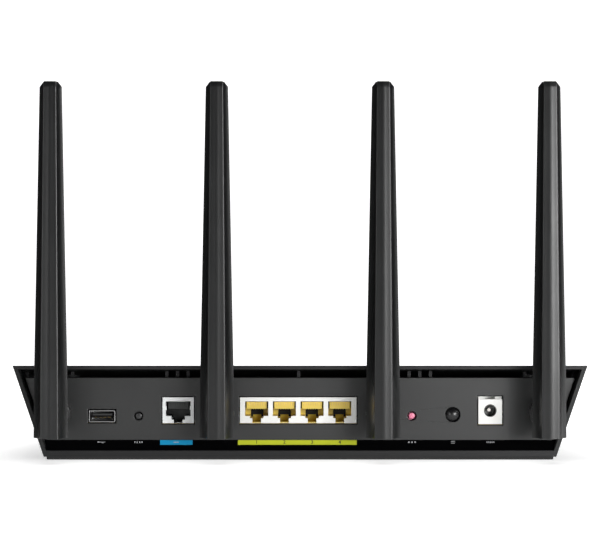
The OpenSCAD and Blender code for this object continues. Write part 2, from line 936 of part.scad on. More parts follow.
// Block with its top front edge stepped and notched, and a foot that hangs over the board's edge
module dc_housing() {
    color([0.92, 0.92, 0.9])
        difference() {
            union() {
                bar_x(dc_x - dc_w / 2, dc_x + dc_w / 2,
                      [[face_y, board_z], [face_y + dc_d, board_z],
                       [face_y + dc_d, dc_top_z], [face_y + dc_step_d, dc_top_z],
                       [face_y + dc_step_d, dc_top_z - dc_step_h],
                       [face_y, dc_top_z - dc_step_h]]);
                box([dc_x - dc_w / 2, face_y, dc_foot_z],
                    [dc_x + dc_w / 2, board_y0 - clear_gap, board_z + eps]);
            }
            box([dc_x - dc_notch_w / 2, face_y - 1, dc_top_z - dc_step_h],
                [dc_x + dc_notch_w / 2, face_y + dc_notch_d, dc_top_z + 1]);
            translate([dc_x, 0, dc_z]) {
                rod_y(dc_r + dc_sleeve_t + pin_gap, face_y - 1, face_y + dc_bore_d);
                rod_y(dc_pin_r + pin_gap, face_y, face_y + dc_bore_d + dc_pin_back);
            }
        }
}

// Dark sleeve that lines the hole
module dc_sleeve() {
    color([0.08, 0.08, 0.08])
        translate([dc_x, 0, dc_z])
            difference() {
                rod_y(dc_r + dc_sleeve_t, face_y + eps, face_y + dc_bore_d - seat_gap);
                rod_y(dc_r, face_y - 1, face_y + dc_bore_d);
            }
}

module dc_pin() {
    color([0.8, 0.8, 0.82])
        translate([dc_x, 0, dc_z])
            rod_y(dc_pin_r, face_y + dc_pin_setback, face_y + dc_bore_d + dc_pin_back);
}

// ---- Buttons -----------------------------------------------------------------------------

button_flange = 1.1;
button_flange_t = 1.4;
button_flange_y = inner_y + 2.5;
stem_r = 1;
stem_l = 6;
switch_w = 6;
switch_d = 5;

// Push button: a face that stands in the panel, a flange behind the panel and a stem
module push_button(x, z, r, travel, dome, setback) {
    back_y = button_flange_y + button_flange_t;
    translate([x, 0, z]) {
        intersection() {
            rod_y(r, panel_y + setback, back_y);
            translate([0, panel_y + setback + dome, 0])
                sphere(r = dome);
        }
        rod_y(r + button_flange, button_flange_y, back_y);
        rod_y(stem_r, button_flange_y, back_y + travel + stem_l / 2);
    }
}

// Switch behind a button: its bore guides the stem and leaves room for the travel
module button_switch(x, z, travel) {
    y0 = button_flange_y + button_flange_t + travel + seat_gap;
    difference() {
        box([x - switch_w / 2, y0, board_z], [x + switch_w / 2, y0 + switch_d, z + 3]);
        translate([x, 0, z])
            rod_y(stem_r + running_gap, y0 - 1, y0 + stem_l / 2 + travel);
    }
}

module pairing_button() {
    color([0.1, 0.1, 0.1])
        push_button(pairing_x, small_button_z, small_button_r, small_travel, 6, 0.6);
}

module reset_button() {
    color([0.85, 0.35, 0.45])
        push_button(reset_x, small_button_z, small_button_r, small_travel, 6, 0.6);
}

module power_button() {
    color([0.05, 0.05, 0.05])
        push_button(power_x, power_button_z, power_button_r, power_travel, 5, -0.6);
}

module button_switches() {
    color([0.15, 0.15, 0.15]) {
        button_switch(pairing_x, small_button_z, small_travel);
        button_switch(reset_x, small_button_z, small_travel);
        button_switch(power_x, power_button_z, power_travel);
    }
}

// ---- Antennas ----------------------------------------------------------------------------

nut_t = 2.4;
nut_r = 5.2;
washer_r = 5.8;
spigot_r = 5.15;
spigot_l = 3.6;
neck_r = 4;
collar_lip = 1.4;
head_gap = 0.15;
elbow_flange_r = collar_r - 0.7;
collar_flutes = 20;
collar_chamfer = 0.5;
collar_rim = 2.4;
eye_r = 4.5;
slot_w = tongue_w + 0.6;
slot_r = eye_r + 0.4;
blade_wall = 1.8;
taper_z = 23;
tip_chamfer = 2.5;
pin_half_l = blade_w / 2 - 1.6;
tip_scale = 0.64;
tip_in = 1.9;
ridge_h = 0.35;
radiator_t = 1;

// Places its children at socket i, with the origin on the rear panel's face
module at_socket(i) {
    translate([antenna_x(i), panel_y, antenna_z])
        children();
}

// Places its children at the hinge pin of antenna i
module at_pin(i) {
    translate([antenna_x(i), pin_y, antenna_z])
        children();
}

module antenna_sockets() {
    color([0.8, 0.65, 0.35])
        for (i = ANTENNAS)
            at_socket(i) {
                rod_y(socket_r, -(washer_t + collar_l - spigot_l - seat_gap), panel_t + 7);
                rod_y(washer_r, -washer_t, 0);
            }
}

module socket_nuts() {
    color([0.8, 0.65, 0.35])
        for (i = ANTENNAS)
            at_socket(i)
                difference() {
                    translate([0, panel_t, 0])
                        rotate([-90, 0, 0])
                            cylinder(r = nut_r, h = nut_t, $fn = 6);
                    rod_y(socket_r + running_gap, panel_t - 1, panel_t + nut_t + 1);
                }
}

module antenna_collars() {
    y0 = -collar_end;
    y1 = -washer_t;
    grip_r = collar_r - collar_chamfer;
    color([0.06, 0.06, 0.06])
        for (i = ANTENNAS)
            at_socket(i)
                difference() {
                    union() {
                        // Smooth rim with a chamfered edge
                        rod_y(collar_r, y0 + collar_chamfer, y0 + collar_rim);
                        translate([0, y0 + collar_chamfer, 0])
                            rotate([90, 0, 0])
                                cylinder(r1 = collar_r, r2 = grip_r, h = collar_chamfer);
                        // Fluted grip
                        translate([0, y1, 0])
                            rotate([90, 0, 0])
                                linear_extrude(y1 - y0 - collar_rim / 2)
                                    difference() {
                                        circle(grip_r);
                                        for (k = [0:collar_flutes - 1])
                                            rotate(k * 360 / collar_flutes)
                                                translate([grip_r + 0.3, 0])
                                                    circle(0.7);
                                    }
                    }
                    rod_y(socket_r + clear_gap, y0 - 1, y1 + 1);
                    rod_y(neck_r + running_gap, y0 - 1, y0 + collar_lip + 1);
                    rod_y(spigot_r + head_gap, y0 + collar_lip, y0 + spigot_l);
                }
}

// Elbow: neck that turns in the collar's lip with a head behind it, flange, and hinge tongue
module antenna_elbow(i) {
    flange_y = sweep_r + elbow_flange_t;
    head_y = flange_y + seat_gap + collar_lip + head_gap;
    color([0.07, 0.07, 0.07])
        at_pin(i)
            difference() {
                union() {
                    rod_y(spigot_r, head_y, flange_y + spigot_l);
                    rod_y(neck_r, flange_y - eps, head_y + eps);
                    rod_y(elbow_flange_r, sweep_r, flange_y);
                    box([-tongue_w / 2, 0, -tongue_h / 2],
                        [tongue_w / 2, sweep_r + 1, tongue_h / 2]);
                    rotate([0, 90, 0])
                        cylinder(r = eye_r, h = tongue_w, center = true);
                }
                rotate([0, 90, 0])
                    cylinder(r = pin_r + running_gap, h = tongue_w + 2, center = true);
            }
}

module antenna_pin(i) {
    color([0.7, 0.7, 0.72])
        at_pin(i)
            rotate([0, 90, 0])
                cylinder(r = pin_r, h = 2 * pin_half_l, center = true);
}

// Section of a blade at height z: half width w, scale k of its depth, moved inwards by s
function rear_half(z, w, k, s) =
    let (face = blade_face / 2 * (0.2 + 0.8 * k), ridge = ridge_h - blade_back)
    [[w - s, s > 0 ? 1 : 0, z], [-w + s, s > 0 ? 1 : 0, z],
     [-face + s * 0.4, ridge * k + s, z], [0, -blade_back * k + s, z],
     [face - s * 0.4, ridge * k + s, z]];

function front_half(z, w, k, s) =
    let (face = w * 0.6)
    [[-w + s, s > 0 ? -1 : 0, z], [w - s, s > 0 ? -1 : 0, z], [face - s * 0.4, blade_front * k - s, z],
     [-face + s * 0.4, blade_front * k - s, z]];

blade_stations = [
    [-blade_down, blade_w / 2, 1],
    [taper_z, blade_w / 2 - 0.3, 0.97],
    [blade_up - tip_chamfer, blade_tip_w / 2, tip_scale],
    [blade_up, blade_tip_w / 2 - tip_in, tip_scale - 0.06]];

hollow_stations = [
    [slot_r + 2, blade_w / 2, 1],
    [taper_z, blade_w / 2 - 0.3, 0.97],
    [blade_up - tip_chamfer - blade_wall, blade_tip_w / 2, tip_scale]];

// Room for the elbow's tongue, from straight ahead round to straight down
module fork_slot() {
    rotate([0, 90, 0])
        cylinder(r = slot_r, h = slot_w, center = true);
    box([-slot_w / 2, 0, -slot_r], [slot_w / 2, blade_back + 1, slot_r]);
    box([-slot_w / 2, -slot_r, -blade_down - 1], [slot_w / 2, blade_back + 1, 0]);
}

module pin_bore() {
    rotate([0, 90, 0])
        cylinder(r = pin_r + pin_gap, h = 2 * pin_half_l + 0.1, center = true);
}

module antenna_blade(i) {
    color([0.16, 0.17, 0.17])
        at_pin(i)
            difference() {
                loft([for (b = blade_stations) rear_half(b[0], b[1], b[2], 0)]);
                loft([for (b = hollow_stations) rear_half(b[0], b[1], b[2], blade_wall)]);
                fork_slot();
                pin_bore();
            }
}

module antenna_cover(i) {
    color([0.1, 0.1, 0.1])
        at_pin(i)
            difference() {
                loft([for (b = blade_stations) front_half(b[0], b[1], b[2], 0)]);
                loft([for (b = hollow_stations) front_half(b[0], b[1], b[2], blade_wall)]);
                fork_slot();
                pin_bore();
            }
}

// Strip of circuit board that stands in the blade
module antenna_radiator(i) {
    w0 = blade_w / 2 - blade_wall - 1.4;
    w1 = blade_tip_w / 2 - blade_wall - 1.2;
    z0 = slot_r + 2.2;
    z1 = blade_up - tip_chamfer - blade_wall - 8;
    color([0.55, 0.42, 0.2])
        at_pin(i)
            translate([0, radiator_t / 2, 0])
                rotate([90, 0, 0])
                    linear_extrude(radiator_t)
                        polygon([[-w0, z0], [w0, z0], [w0, taper_z], [w1, z1], [-w1, z1],
                                 [-w0, taper_z]]);
}

top_cover();
bottom_case();
rear_panel();
label_strip();
wan_marker();
lan_marker();
foot_strips();
case_screws();
board_screws();
main_board();
chips();
heat_sink();
radio_shields();
transformers();
capacitors();
indicator_leds();
light_guide();
usb_shell();
usb_tongue();
usb_contacts();
wan_housing();
wan_liner();
wan_contacts();
lan_housing();
lan_liners();
lan_contacts();
dc_housing();
dc_sleeve();
dc_pin();
pairing_button();
reset_button();
power_button();
button_switches();
antenna_sockets();
socket_nuts();
antenna_collars();
for (i = ANTENNAS) {
    antenna_elbow(i);
    antenna_pin(i);
    antenna_blade(i);
    antenna_cover(i);
    antenna_radiator(i);
}
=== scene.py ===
import math

import bmesh
import bpy
from mathutils import Matrix, Vector


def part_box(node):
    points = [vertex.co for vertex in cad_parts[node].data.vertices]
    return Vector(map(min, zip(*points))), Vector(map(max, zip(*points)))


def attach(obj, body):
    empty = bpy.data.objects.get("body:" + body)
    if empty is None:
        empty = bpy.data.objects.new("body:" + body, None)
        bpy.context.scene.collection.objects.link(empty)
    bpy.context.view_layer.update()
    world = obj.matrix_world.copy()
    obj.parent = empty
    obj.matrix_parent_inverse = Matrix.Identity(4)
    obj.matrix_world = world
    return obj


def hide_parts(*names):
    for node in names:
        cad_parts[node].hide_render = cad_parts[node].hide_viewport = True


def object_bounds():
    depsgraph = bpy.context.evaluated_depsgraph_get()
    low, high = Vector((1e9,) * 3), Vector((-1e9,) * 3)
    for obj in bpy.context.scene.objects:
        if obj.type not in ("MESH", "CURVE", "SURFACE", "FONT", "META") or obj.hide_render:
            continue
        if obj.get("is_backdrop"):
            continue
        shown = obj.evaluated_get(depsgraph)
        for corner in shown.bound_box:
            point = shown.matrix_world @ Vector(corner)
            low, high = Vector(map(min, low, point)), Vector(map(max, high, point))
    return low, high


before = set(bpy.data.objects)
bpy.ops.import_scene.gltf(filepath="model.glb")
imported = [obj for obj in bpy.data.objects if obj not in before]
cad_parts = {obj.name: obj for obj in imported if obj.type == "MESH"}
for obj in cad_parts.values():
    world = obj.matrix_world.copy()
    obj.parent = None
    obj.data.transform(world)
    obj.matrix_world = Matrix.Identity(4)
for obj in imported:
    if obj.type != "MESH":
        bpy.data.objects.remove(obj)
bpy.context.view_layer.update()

MM = 0.001

# ---- Bottom case -----------------------------------------------------------------------------
# The tub of the router, moulded in black ABS with a spark-eroded satin grain. Its side walls
# stand proud of the rear panel like a picture frame, and the floor is slotted for air.


class Signal:
    """A socket of a node tree that takes part in Python sums and products."""

    def __init__(self, tree, socket):
        self.tree = tree
        self.socket = socket

    def math(self, operation, *values):
        return self.tree.node("ShaderNodeMath", {"operation": operation}, dict(enumerate(values)))

    def __add__(self, other):
        return self.math("ADD", self, other)

    def __radd__(self, other):
        return self.math("ADD", other, self)

    def __sub__(self, other):
        return self.math("SUBTRACT", self, other)

    def __mul__(self, other):
        return self.math("MULTIPLY", self, other)

    def __rmul__(self, other):
        return self.math("MULTIPLY", other, self)

    def __gt__(self, other):
        return self.math("GREATER_THAN", self, other)

    def __lt__(self, other):
        return self.math("LESS_THAN", self, other)


class Tree:
    """A node tree that is written from Python, one node to a call."""

    def __init__(self, tree):
        self.tree = tree

    def node(self, kind, settings=None, sockets=None, out=0):
        """Adds a node: its settings first, then the values or links of its sockets."""
        made = self.tree.nodes.new(kind)
        for name, value in (settings or {}).items():
            setattr(made, name, value)
        for name, value in (sockets or {}).items():
            for each in value if isinstance(value, list) else [value]:
                if isinstance(each, Signal):
                    self.tree.links.new(each.socket, made.inputs[name])
                else:
                    made.inputs[name].default_value = each
        return Signal(self, made.outputs[out])

    def axis(self, vector, k):
        """One coordinate of a vector: 0 for X, 1 for Y and 2 for Z."""
        return self.node("ShaderNodeSeparateXYZ", {}, {0: vector}, k)


class Finish(Tree):
    """One procedural material. Even values go straight on the shader's own sockets."""

    def __init__(self, name, **even):
        self.material = bpy.data.materials.new(name)
        self.material.use_nodes = True
        super().__init__(self.material.node_tree)
        self.shader = self.tree.nodes["Principled BSDF"]
        for socket, value in even.items():
            self.shader.inputs[socket.replace("_", " ")].default_value = value

    def feed(self, **varied):
        """Links what varies over the surface to the shader."""
        for socket, value in varied.items():
            self.tree.links.new(value.socket, self.shader.inputs[socket.replace("_", " ")])

    def place(self, scale=(1, 1, 1)):
        """Object coordinates in metres, stretched by scale."""
        return self.node("ShaderNodeMapping", {}, {
            "Vector": self.node("ShaderNodeTexCoord", {}, {}, "Object"), "Scale": scale})

    def noise(self, size, detail=2.0, stretch=(1, 1, 1)):
        """Noise whose blotches are about size metres across."""
        return self.node("ShaderNodeTexNoise", {}, {
            "Vector": self.place(stretch), "Scale": 1 / size, "Detail": detail}, "Fac")

    def mix(self, factor, a, b):
        """Colour a where the factor is 0 and b where it is 1, by the node's colour sockets."""
        first, second, mixed = 6, 7, 2
        return self.node("ShaderNodeMix", {"data_type": "RGBA"},
                         {"Factor": factor, first: a, second: b}, mixed)

    def shades(self, factor, colour, spread):
        """The colour, darker and lighter by a part of itself as the factor goes from 0 to 1."""
        return self.mix(factor, tuple((1 - spread) * c for c in colour) + (1,),
                        tuple((1 + spread) * c for c in colour) + (1,))

    def bump(self, height, depth):
        return self.node("ShaderNodeBump", {}, {"Height": height, "Distance": depth})


def moulded_plastic(name, colour, rough, grain=0.35 * MM, depth=0.012 * MM, shine=0.5):
    """Injection-moulded ABS: eroded grain, slight flow mottling and uneven gloss."""
    finish = Finish(name, Specular_IOR_Level=shine)
    flow = finish.noise(18 * MM, 3.0)
    eroded = finish.noise(grain, 3.0)
    finish.feed(Base_Color=finish.shades(0.6 * flow + 0.4 * eroded, colour, 0.1),
                Roughness=rough - 0.06 + 0.08 * flow + 0.06 * eroded,
                Normal=finish.bump(eroded, depth))
    return finish.material


def piece(name, mesh, body, slot, *replaced):
    """Puts a finished mesh into the scene on its body, in place of the CAD nodes it dresses."""
    made = bpy.data.objects.new(name, mesh)
    bpy.context.scene.collection.objects.link(made)
    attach(made, body)
    if replaced:
        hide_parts(*replaced)
    return made


def welded(node):
    """A CAD node's mesh with its corners joined and each flat face made one polygon."""
    weld, bend, flat = 0.002 * MM, math.radians(3), math.radians(0.4)
    shape = bmesh.new()
    shape.from_mesh(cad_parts[node].data)
    bmesh.ops.remove_doubles(shape, verts=shape.verts, dist=weld)
    # An edge that runs from one outline to another holds a hole open, so it stays
    outline = {}
    for corner in shape.verts:
        if corner in outline:
            continue
        outline[corner] = corner.index
        front = [corner]
        while front:
            here = front.pop()
            for edge in here.link_edges:
                far = edge.other_vert(here)
                if far not in outline and edge.calc_face_angle(0) > bend:
                    outline[far] = corner.index
                    front.append(far)
    for edge in shape.edges:
        edge.seam = outline[edge.verts[0]] != outline[edge.verts[1]]
    bmesh.ops.dissolve_limit(shape, angle_limit=flat, verts=shape.verts, edges=shape.edges,
                             delimit={"SEAM"})
    return shape


def moulded(node, body, slot, material, radius, name):
    """A CAD node with its corners rounded, in place of the node."""
    corner = math.radians(20)
    shape = welded(node)
    mesh = bpy.data.meshes.new(name)
    shape.to_mesh(mesh)
    shape.free()
    mesh.materials.clear()
    mesh.materials.append(material)
    mesh.shade_smooth()
    mesh.set_sharp_from_angle(angle=corner)
    made = piece(name, mesh, body, slot, node)
    rounding = made.modifiers.new("rounding", "BEVEL")
    rounding.width = radius
    rounding.segments = 3
    rounding.limit_method = "ANGLE"
    rounding.angle_limit = corner
    rounding.use_clamp_overlap = True
    rounding.harden_normals = True
    return made


case_plastic = moulded_plastic("satin_case_abs", (0.006, 0.0063, 0.0066), 0.42, shine=0.3)
moulded("bottom_case", "case", "case_plastic", case_plastic, 0.45 * MM, "case_tub")

# ---- Rear panel ------------------------------------------------------------------------------
# A separate flat moulding that drops into the frame of the tub behind the slot. It is a
# lighter, smoother charcoal than the case and has a crisp cut-out for each socket and button.
panel_plastic = moulded_plastic("smooth_panel_abs", (0.014, 0.0145, 0.0145), 0.36, 0.28 * MM)
moulded("rear_panel", "case", "panel_plastic", panel_plastic, 0.35 * MM, "socket_panel")

# ---- Label strip, its colour markers and index marks -----------------------------------------
# A polished black bar under the sockets. A blue and a yellow-green insert are let into its top
# edge, with plain numbers for the four sockets and plain white index marks printed on the rest.


def polished_plastic(name, colour, rough, shine):
    """Gloss moulding: very slight waviness and hairline rub marks in the polish."""
    finish = Finish(name, Specular_IOR_Level=shine)
    waves = finish.noise(6 * MM, 1.0)
    rubs = finish.noise(0.5 * MM, 2.0, (0.04, 1, 1))
    finish.feed(Base_Color=finish.shades(waves, colour, 0.08),
                Roughness=rough - 0.03 + 0.08 * rubs,
                Normal=finish.bump(waves + 0.2 * rubs, 0.004 * MM))
    return finish.material


def islands(node):
    """The box of each separate solid of a CAD node, from left to right."""
    shape = welded(node)
    seen, boxes = set(), []
    for corner in shape.verts:
        if corner in seen:
            continue
        seen.add(corner)
        front, reached = [corner], []
        while front:
            here = front.pop()
            reached.append(here.co.copy())
            for edge in here.link_edges:
                far = edge.other_vert(here)
                if far not in seen:
                    seen.add(far)
                    front.append(far)
        boxes.append((Vector(map(min, zip(*reached))), Vector(map(max, zip(*reached)))))
    shape.free()
    return sorted(boxes, key=lambda box: (round(box[0].x, 5), box[0].y))


gloss_black = polished_plastic("polished_black", (0.0012, 0.0012, 0.0014), 0.2, 0.04)
moulded("label_strip", "case", "gloss_strip", gloss_black, 0.15 * MM, "label_bar")
marker_blue = polished_plastic("marker_blue_gloss", (0.012, 0.29, 0.54), 0.35, 0.3)
marker_yellow = polished_plastic("marker_yellow_gloss", (0.50, 0.55, 0.032), 0.35, 0.3)
moulded("wan_marker", "case", "marker_blue", marker_blue, 0.06 * MM, "blue_insert")
moulded("lan_marker", "case", "marker_yellow", marker_yellow, 0.06 * MM, "yellow_insert")

marker_low, marker_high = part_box("lan_marker")
insert_t = 0.5 * MM
strip_lean = math.atan2(marker_high.y - marker_low.y - insert_t, marker_high.z - marker_low.z)
ink_t = 0.02 * MM


def speckled(name, colour, spread, rough, swing, size, detail=3.0, depth=0.0, **even):
    """Fine specks in colour and gloss, as in printed ink, ceramic, tin and rubber."""
    finish = Finish(name, **even)
    specks = finish.noise(size, detail)
    finish.feed(Base_Color=finish.shades(specks, colour, spread), Roughness=rough + swing * specks)
    if depth:
        finish.feed(Normal=finish.bump(specks, depth))
    return finish.material


def on_strip(x, down):
    """Places a flat print, drawn in X and Y, on the strip's sloping face, below its top edge."""
    top = Vector((x, marker_high.y - insert_t, marker_high.z))
    slope = Matrix.Rotation(math.pi / 2 - strip_lean, 4, "X")
    return Matrix.Translation(top + slope.to_3x3() @ Vector((0, -down, ink_t))) @ slope


def flat_print(shape, outline, place):
    """Adds one printed mark with the given outline of points and the thickness of the ink."""
    front = [shape.verts.new(place @ Vector((x, y, 0))) for x, y in outline]
    back = [shape.verts.new(place @ Vector((x, y, -2 * ink_t))) for x, y in outline]
    shape.faces.new(front)
    shape.faces.new(back[::-1])
    for i in range(len(outline)):
        j = (i + 1) % len(outline)
        shape.faces.new((front[i], back[i], back[j], front[j]))


def disc(x, y, r, points=16):
    return [(x + r * math.cos(2 * math.pi * k / points), y + r * math.sin(2 * math.pi * k / points))
            for k in range(points)]


def bar(x, y, w, h):
    return [(x - w / 2, y - h / 2), (x + w / 2, y - h / 2), (x + w / 2, y + h / 2),
            (x - w / 2, y + h / 2)]


def middle(node):
    low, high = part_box(node)
    return (low + high) / 2


mark_down = 1.2 * MM
marks = bmesh.new()
for node, outlines in {
        "usb_shell": [bar(0, 0.08 * MM, 3.6 * MM, 0.22 * MM), disc(-1.8 * MM, 0.08 * MM, 0.38 * MM),
                      bar(0.4 * MM, -0.35 * MM, 1.2 * MM, 0.2 * MM)],
        "pairing_button": [bar(x * MM, 0, 0.5 * MM, 0.9 * MM) for x in (-1.8, -0.7, 0.7, 1.8)],
        "reset_button": [disc(x * MM, 0, 0.42 * MM) for x in (-1.6, 0, 1.6)],
        "power_button": [bar(0, y * MM, 2.0 * MM, 0.24 * MM) for y in (-0.5, 0.5)],
        "dc_housing": [bar(x * MM, 0, 0.4 * MM, 0.8 * MM) for x in (-1.7, -0.8, 0, 0.8, 1.7)],
        }.items():
    for outline in outlines:
        flat_print(marks, outline, on_strip(middle(node).x, mark_down))
flat_print(marks, bar(0, 0, 2.6 * MM, 0.4 * MM), on_strip(middle("wan_marker").x, mark_down))
mark_mesh = bpy.data.meshes.new("index_marks")
marks.to_mesh(mark_mesh)
marks.free()
mark_mesh.materials.append(speckled("white_ink", (0.42, 0.43, 0.44), 0.15, 0.55, 0.2, 0.15 * MM))
piece("index_marks", mark_mesh, "case", "led_white")

numeral_size, stroke_gain, weld = 2.6 * MM, 0.03 * MM, 0.002 * MM
numerals = bmesh.new()
for number, (low, high) in enumerate(islands("lan_liners"), 1):
    glyph = bpy.data.curves.new("numeral", "FONT")
    glyph.body = str(number)
    glyph.size = numeral_size
    glyph.align_x = "CENTER"
    glyph.align_y = "CENTER"
    glyph.extrude = ink_t
    glyph.offset = stroke_gain
    glyph.resolution_u = 3
    written = bpy.data.objects.new("numeral", glyph)
    bpy.context.scene.collection.objects.link(written)
    bpy.context.view_layer.update()
    flat = bpy.data.meshes.new_from_object(written)
    flat.transform(on_strip((low.x + high.x) / 2, mark_down) @ Matrix.Translation((0, 0, -ink_t)))
    numerals.from_mesh(flat)
    bpy.data.objects.remove(written)
bmesh.ops.remove_doubles(numerals, verts=numerals.verts, dist=weld)
bmesh.ops.recalc_face_normals(numerals, faces=numerals.faces)
numeral_mesh = bpy.data.meshes.new("socket_numbers")
numerals.to_mesh(numeral_mesh)
numerals.free()
numeral_mesh.materials.append(
    speckled("dark_ink", (0.035, 0.045, 0.01), 0.15, 0.55, 0.2, 0.15 * MM))
piece("socket_numbers", numeral_mesh, "case", "rubber")

# ---- Main board ------------------------------------------------------------------------------
# The green four-layer circuit board that carries every socket, held to the floor by four
# plated screws. Small resistors and ceramic capacitors are soldered over its free areas.


def solder_mask(name, colour):
    """Lacquer over copper: tracks stand out slightly, with tinned via pads between them."""
    glass_edge, bare_tin = (0.30, 0.22, 0.09, 1), (0.62, 0.62, 0.60, 1)
    via_pitch, via_share, gap_share = 2.6 * MM, 0.11, 0.62
    finish = Finish(name, Specular_IOR_Level=0.5)
    place = finish.place()
    warp = finish.noise(7 * MM, 1.0)
    tracks = finish.node("ShaderNodeTexWave", {"bands_direction": "DIAGONAL"}, {
        "Vector": place, "Scale": 180.0, "Distortion": 6.0, "Detail": 0.0, "Detail Scale": 60.0})
    copper = tracks > gap_share
    cells = finish.node("ShaderNodeTexVoronoi", {}, {
        "Vector": place, "Scale": 1 / via_pitch, "Randomness": 0.8}, "Distance")
    via = cells < via_share
    lacquer = finish.mix(copper, tuple(0.75 * c for c in colour) + (1,), colour + (1,))
    up = finish.axis(finish.node("ShaderNodeNewGeometry", {}, {}, "Normal"), 2)
    face = up.math("ABSOLUTE", up) > 0.5
    top = finish.mix(via, lacquer, bare_tin)
    finish.feed(Base_Color=finish.mix(face, glass_edge, top),
                Roughness=0.28 + 0.1 * warp + 0.2 * via, Metallic=0.8 * (via * face),
                Normal=finish.bump(copper + via, 0.03 * MM))
    return finish.material


def dress(node, material):
    """Gives a CAD node whose shape is right its finish."""
    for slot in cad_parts[node].material_slots:
        slot.material = material


class Recipe(Tree):
    """A Geometry Nodes tree with named inputs, which ends in real geometry with one finish."""

    KINDS = {float: "NodeSocketFloat", int: "NodeSocketInt", tuple: "NodeSocketVector"}

    def __init__(self, name, **sizes):
        super().__init__(bpy.data.node_groups.new(name, "GeometryNodeTree"))
        face = self.tree.interface
        face.new_socket("Outline", in_out="INPUT", socket_type="NodeSocketGeometry")
        face.new_socket("Shape", in_out="OUTPUT", socket_type="NodeSocketGeometry")
        self.names = {}
        for key, value in sizes.items():
            title = key.replace("_", " ").title()
            socket = face.new_socket(title, in_out="INPUT", socket_type=self.KINDS[type(value)])
            socket.default_value = value
            self.names[key] = socket.identifier
        start = self.tree.nodes.new("NodeGroupInput")
        self.outline = Signal(self, start.outputs[0])
        self.size = {key: Signal(self, start.outputs[i + 1]) for i, key in enumerate(sizes)}

    def vector(self, x=0.0, y=0.0, z=0.0):
        return self.node("ShaderNodeCombineXYZ", {}, {0: x, 1: y, 2: z})

    def moved(self, shape, **how):
        return self.node("GeometryNodeTransform", {}, {"Geometry": shape, **how})

    def finish(self, shape, material, *tipped):
        """Realises the shape and gives it its material, with others where an attribute is set."""
        shape = self.node("GeometryNodeRealizeInstances", {}, {"Geometry": shape})
        shape = self.node("GeometryNodeSetMaterial", {}, {"Geometry": shape, "Material": material})
        for name, other in tipped:
            chosen = self.node("GeometryNodeInputNamedAttribute", {"data_type": "BOOLEAN"},
                               {"Name": name})
            shape = self.node("GeometryNodeSetMaterial", {}, {
                "Geometry": shape, "Selection": chosen, "Material": other})
        end = self.tree.nodes.new("NodeGroupOutput")
        self.tree.links.new(shape.socket, end.inputs[0])

    def bake(self, name, outline, **sizes):
        """Runs the tree on an outline mesh with these sizes, and returns a plain mesh."""
        host = bpy.data.objects.new(name, outline)
        made = host.modifiers.new(name, "NODES")
        made.node_group = self.tree
        for key, value in sizes.items():
            made[self.names[key]] = value
        bpy.context.scene.collection.objects.link(host)
        graph = bpy.context.evaluated_depsgraph_get()
        mesh = bpy.data.meshes.new_from_object(host.evaluated_get(graph))
        mesh.name = name
        bpy.data.objects.remove(host)
        return mesh


def outline_mesh(name, points, edges=(), faces=()):
    """A mesh of bare points, edges or faces, which a Geometry Nodes tree takes as its outline."""
    mesh = bpy.data.meshes.new(name)
    mesh.from_pydata(points, edges, faces)
    return mesh


board_green = solder_mask("green_solder_mask", (0.012, 0.085, 0.035))
dress("main_board", board_green)

bright_steel = speckled("plated_screw_steel", (0.62, 0.62, 0.63), 0.12, 0.25, 0.15,
                        0.12 * MM, 2.0, Metallic=1.0)
dress("board_screws", bright_steel)

tin = speckled("solder_tin", (0.66, 0.66, 0.64), 0.1, 0.22, 0.2, 0.2 * MM, 2.0, Metallic=1.0)
resistor_body = speckled("resistor_body", (0.02, 0.02, 0.022), 0.2, 0.5, 0.2, 0.08 * MM)
capacitor_body = speckled("ceramic_capacitor_body", (0.36, 0.25, 0.15), 0.2, 0.5, 0.2, 0.08 * MM)


def small_parts(name, body):
    """Two-ended parts strewn over the outline's faces, each square to the board."""
    end_cover, most_per_area = (0.02 * MM, 0.04 * MM, 0.04 * MM), 1 / (2.5 * MM) ** 2
    r = Recipe(name, part_size=(1.6 * MM, 0.8 * MM, 0.45 * MM), end_length=0.3 * MM,
               spacing=3 * MM, seed=1)
    core = r.node("GeometryNodeMeshCube", {}, {"Size": r.size["part_size"]})
    length = r.axis(r.size["part_size"], 0)
    reach = r.node("ShaderNodeVectorMath", {"operation": "ADD"}, {
        0: r.size["part_size"], 1: end_cover})
    end = r.node("GeometryNodeMeshCube", {}, {
        "Size": r.vector(r.size["end_length"], r.axis(reach, 1), r.axis(reach, 2))})
    end = r.node("GeometryNodeStoreNamedAttribute", {"data_type": "BOOLEAN", "domain": "FACE"},
                 {"Geometry": end, "Name": "tin", "Value": True})
    inset = 0.5 * (length - r.size["end_length"])
    ends = [r.moved(end, Translation=r.vector(side * inset)) for side in (-1.0, 1.0)]
    part = r.node("GeometryNodeJoinGeometry", {}, {"Geometry": [core] + ends})
    spots = r.node("GeometryNodeDistributePointsOnFaces", {"distribute_method": "POISSON"}, {
        "Mesh": r.outline, "Distance Min": r.size["spacing"], "Density Max": most_per_area,
        "Seed": r.size["seed"]})
    quarter = r.node("FunctionNodeRandomValue", {"data_type": "INT"}, {
        "Min": 0, "Max": 3, "Seed": r.size["seed"]}, 2)
    placed = r.node("GeometryNodeInstanceOnPoints", {}, {
        "Points": spots, "Instance": part, "Rotation": r.vector(z=(math.pi / 2) * quarter)})
    r.finish(placed, body, ("tin", tin))
    return r


board_low, board_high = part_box("main_board")
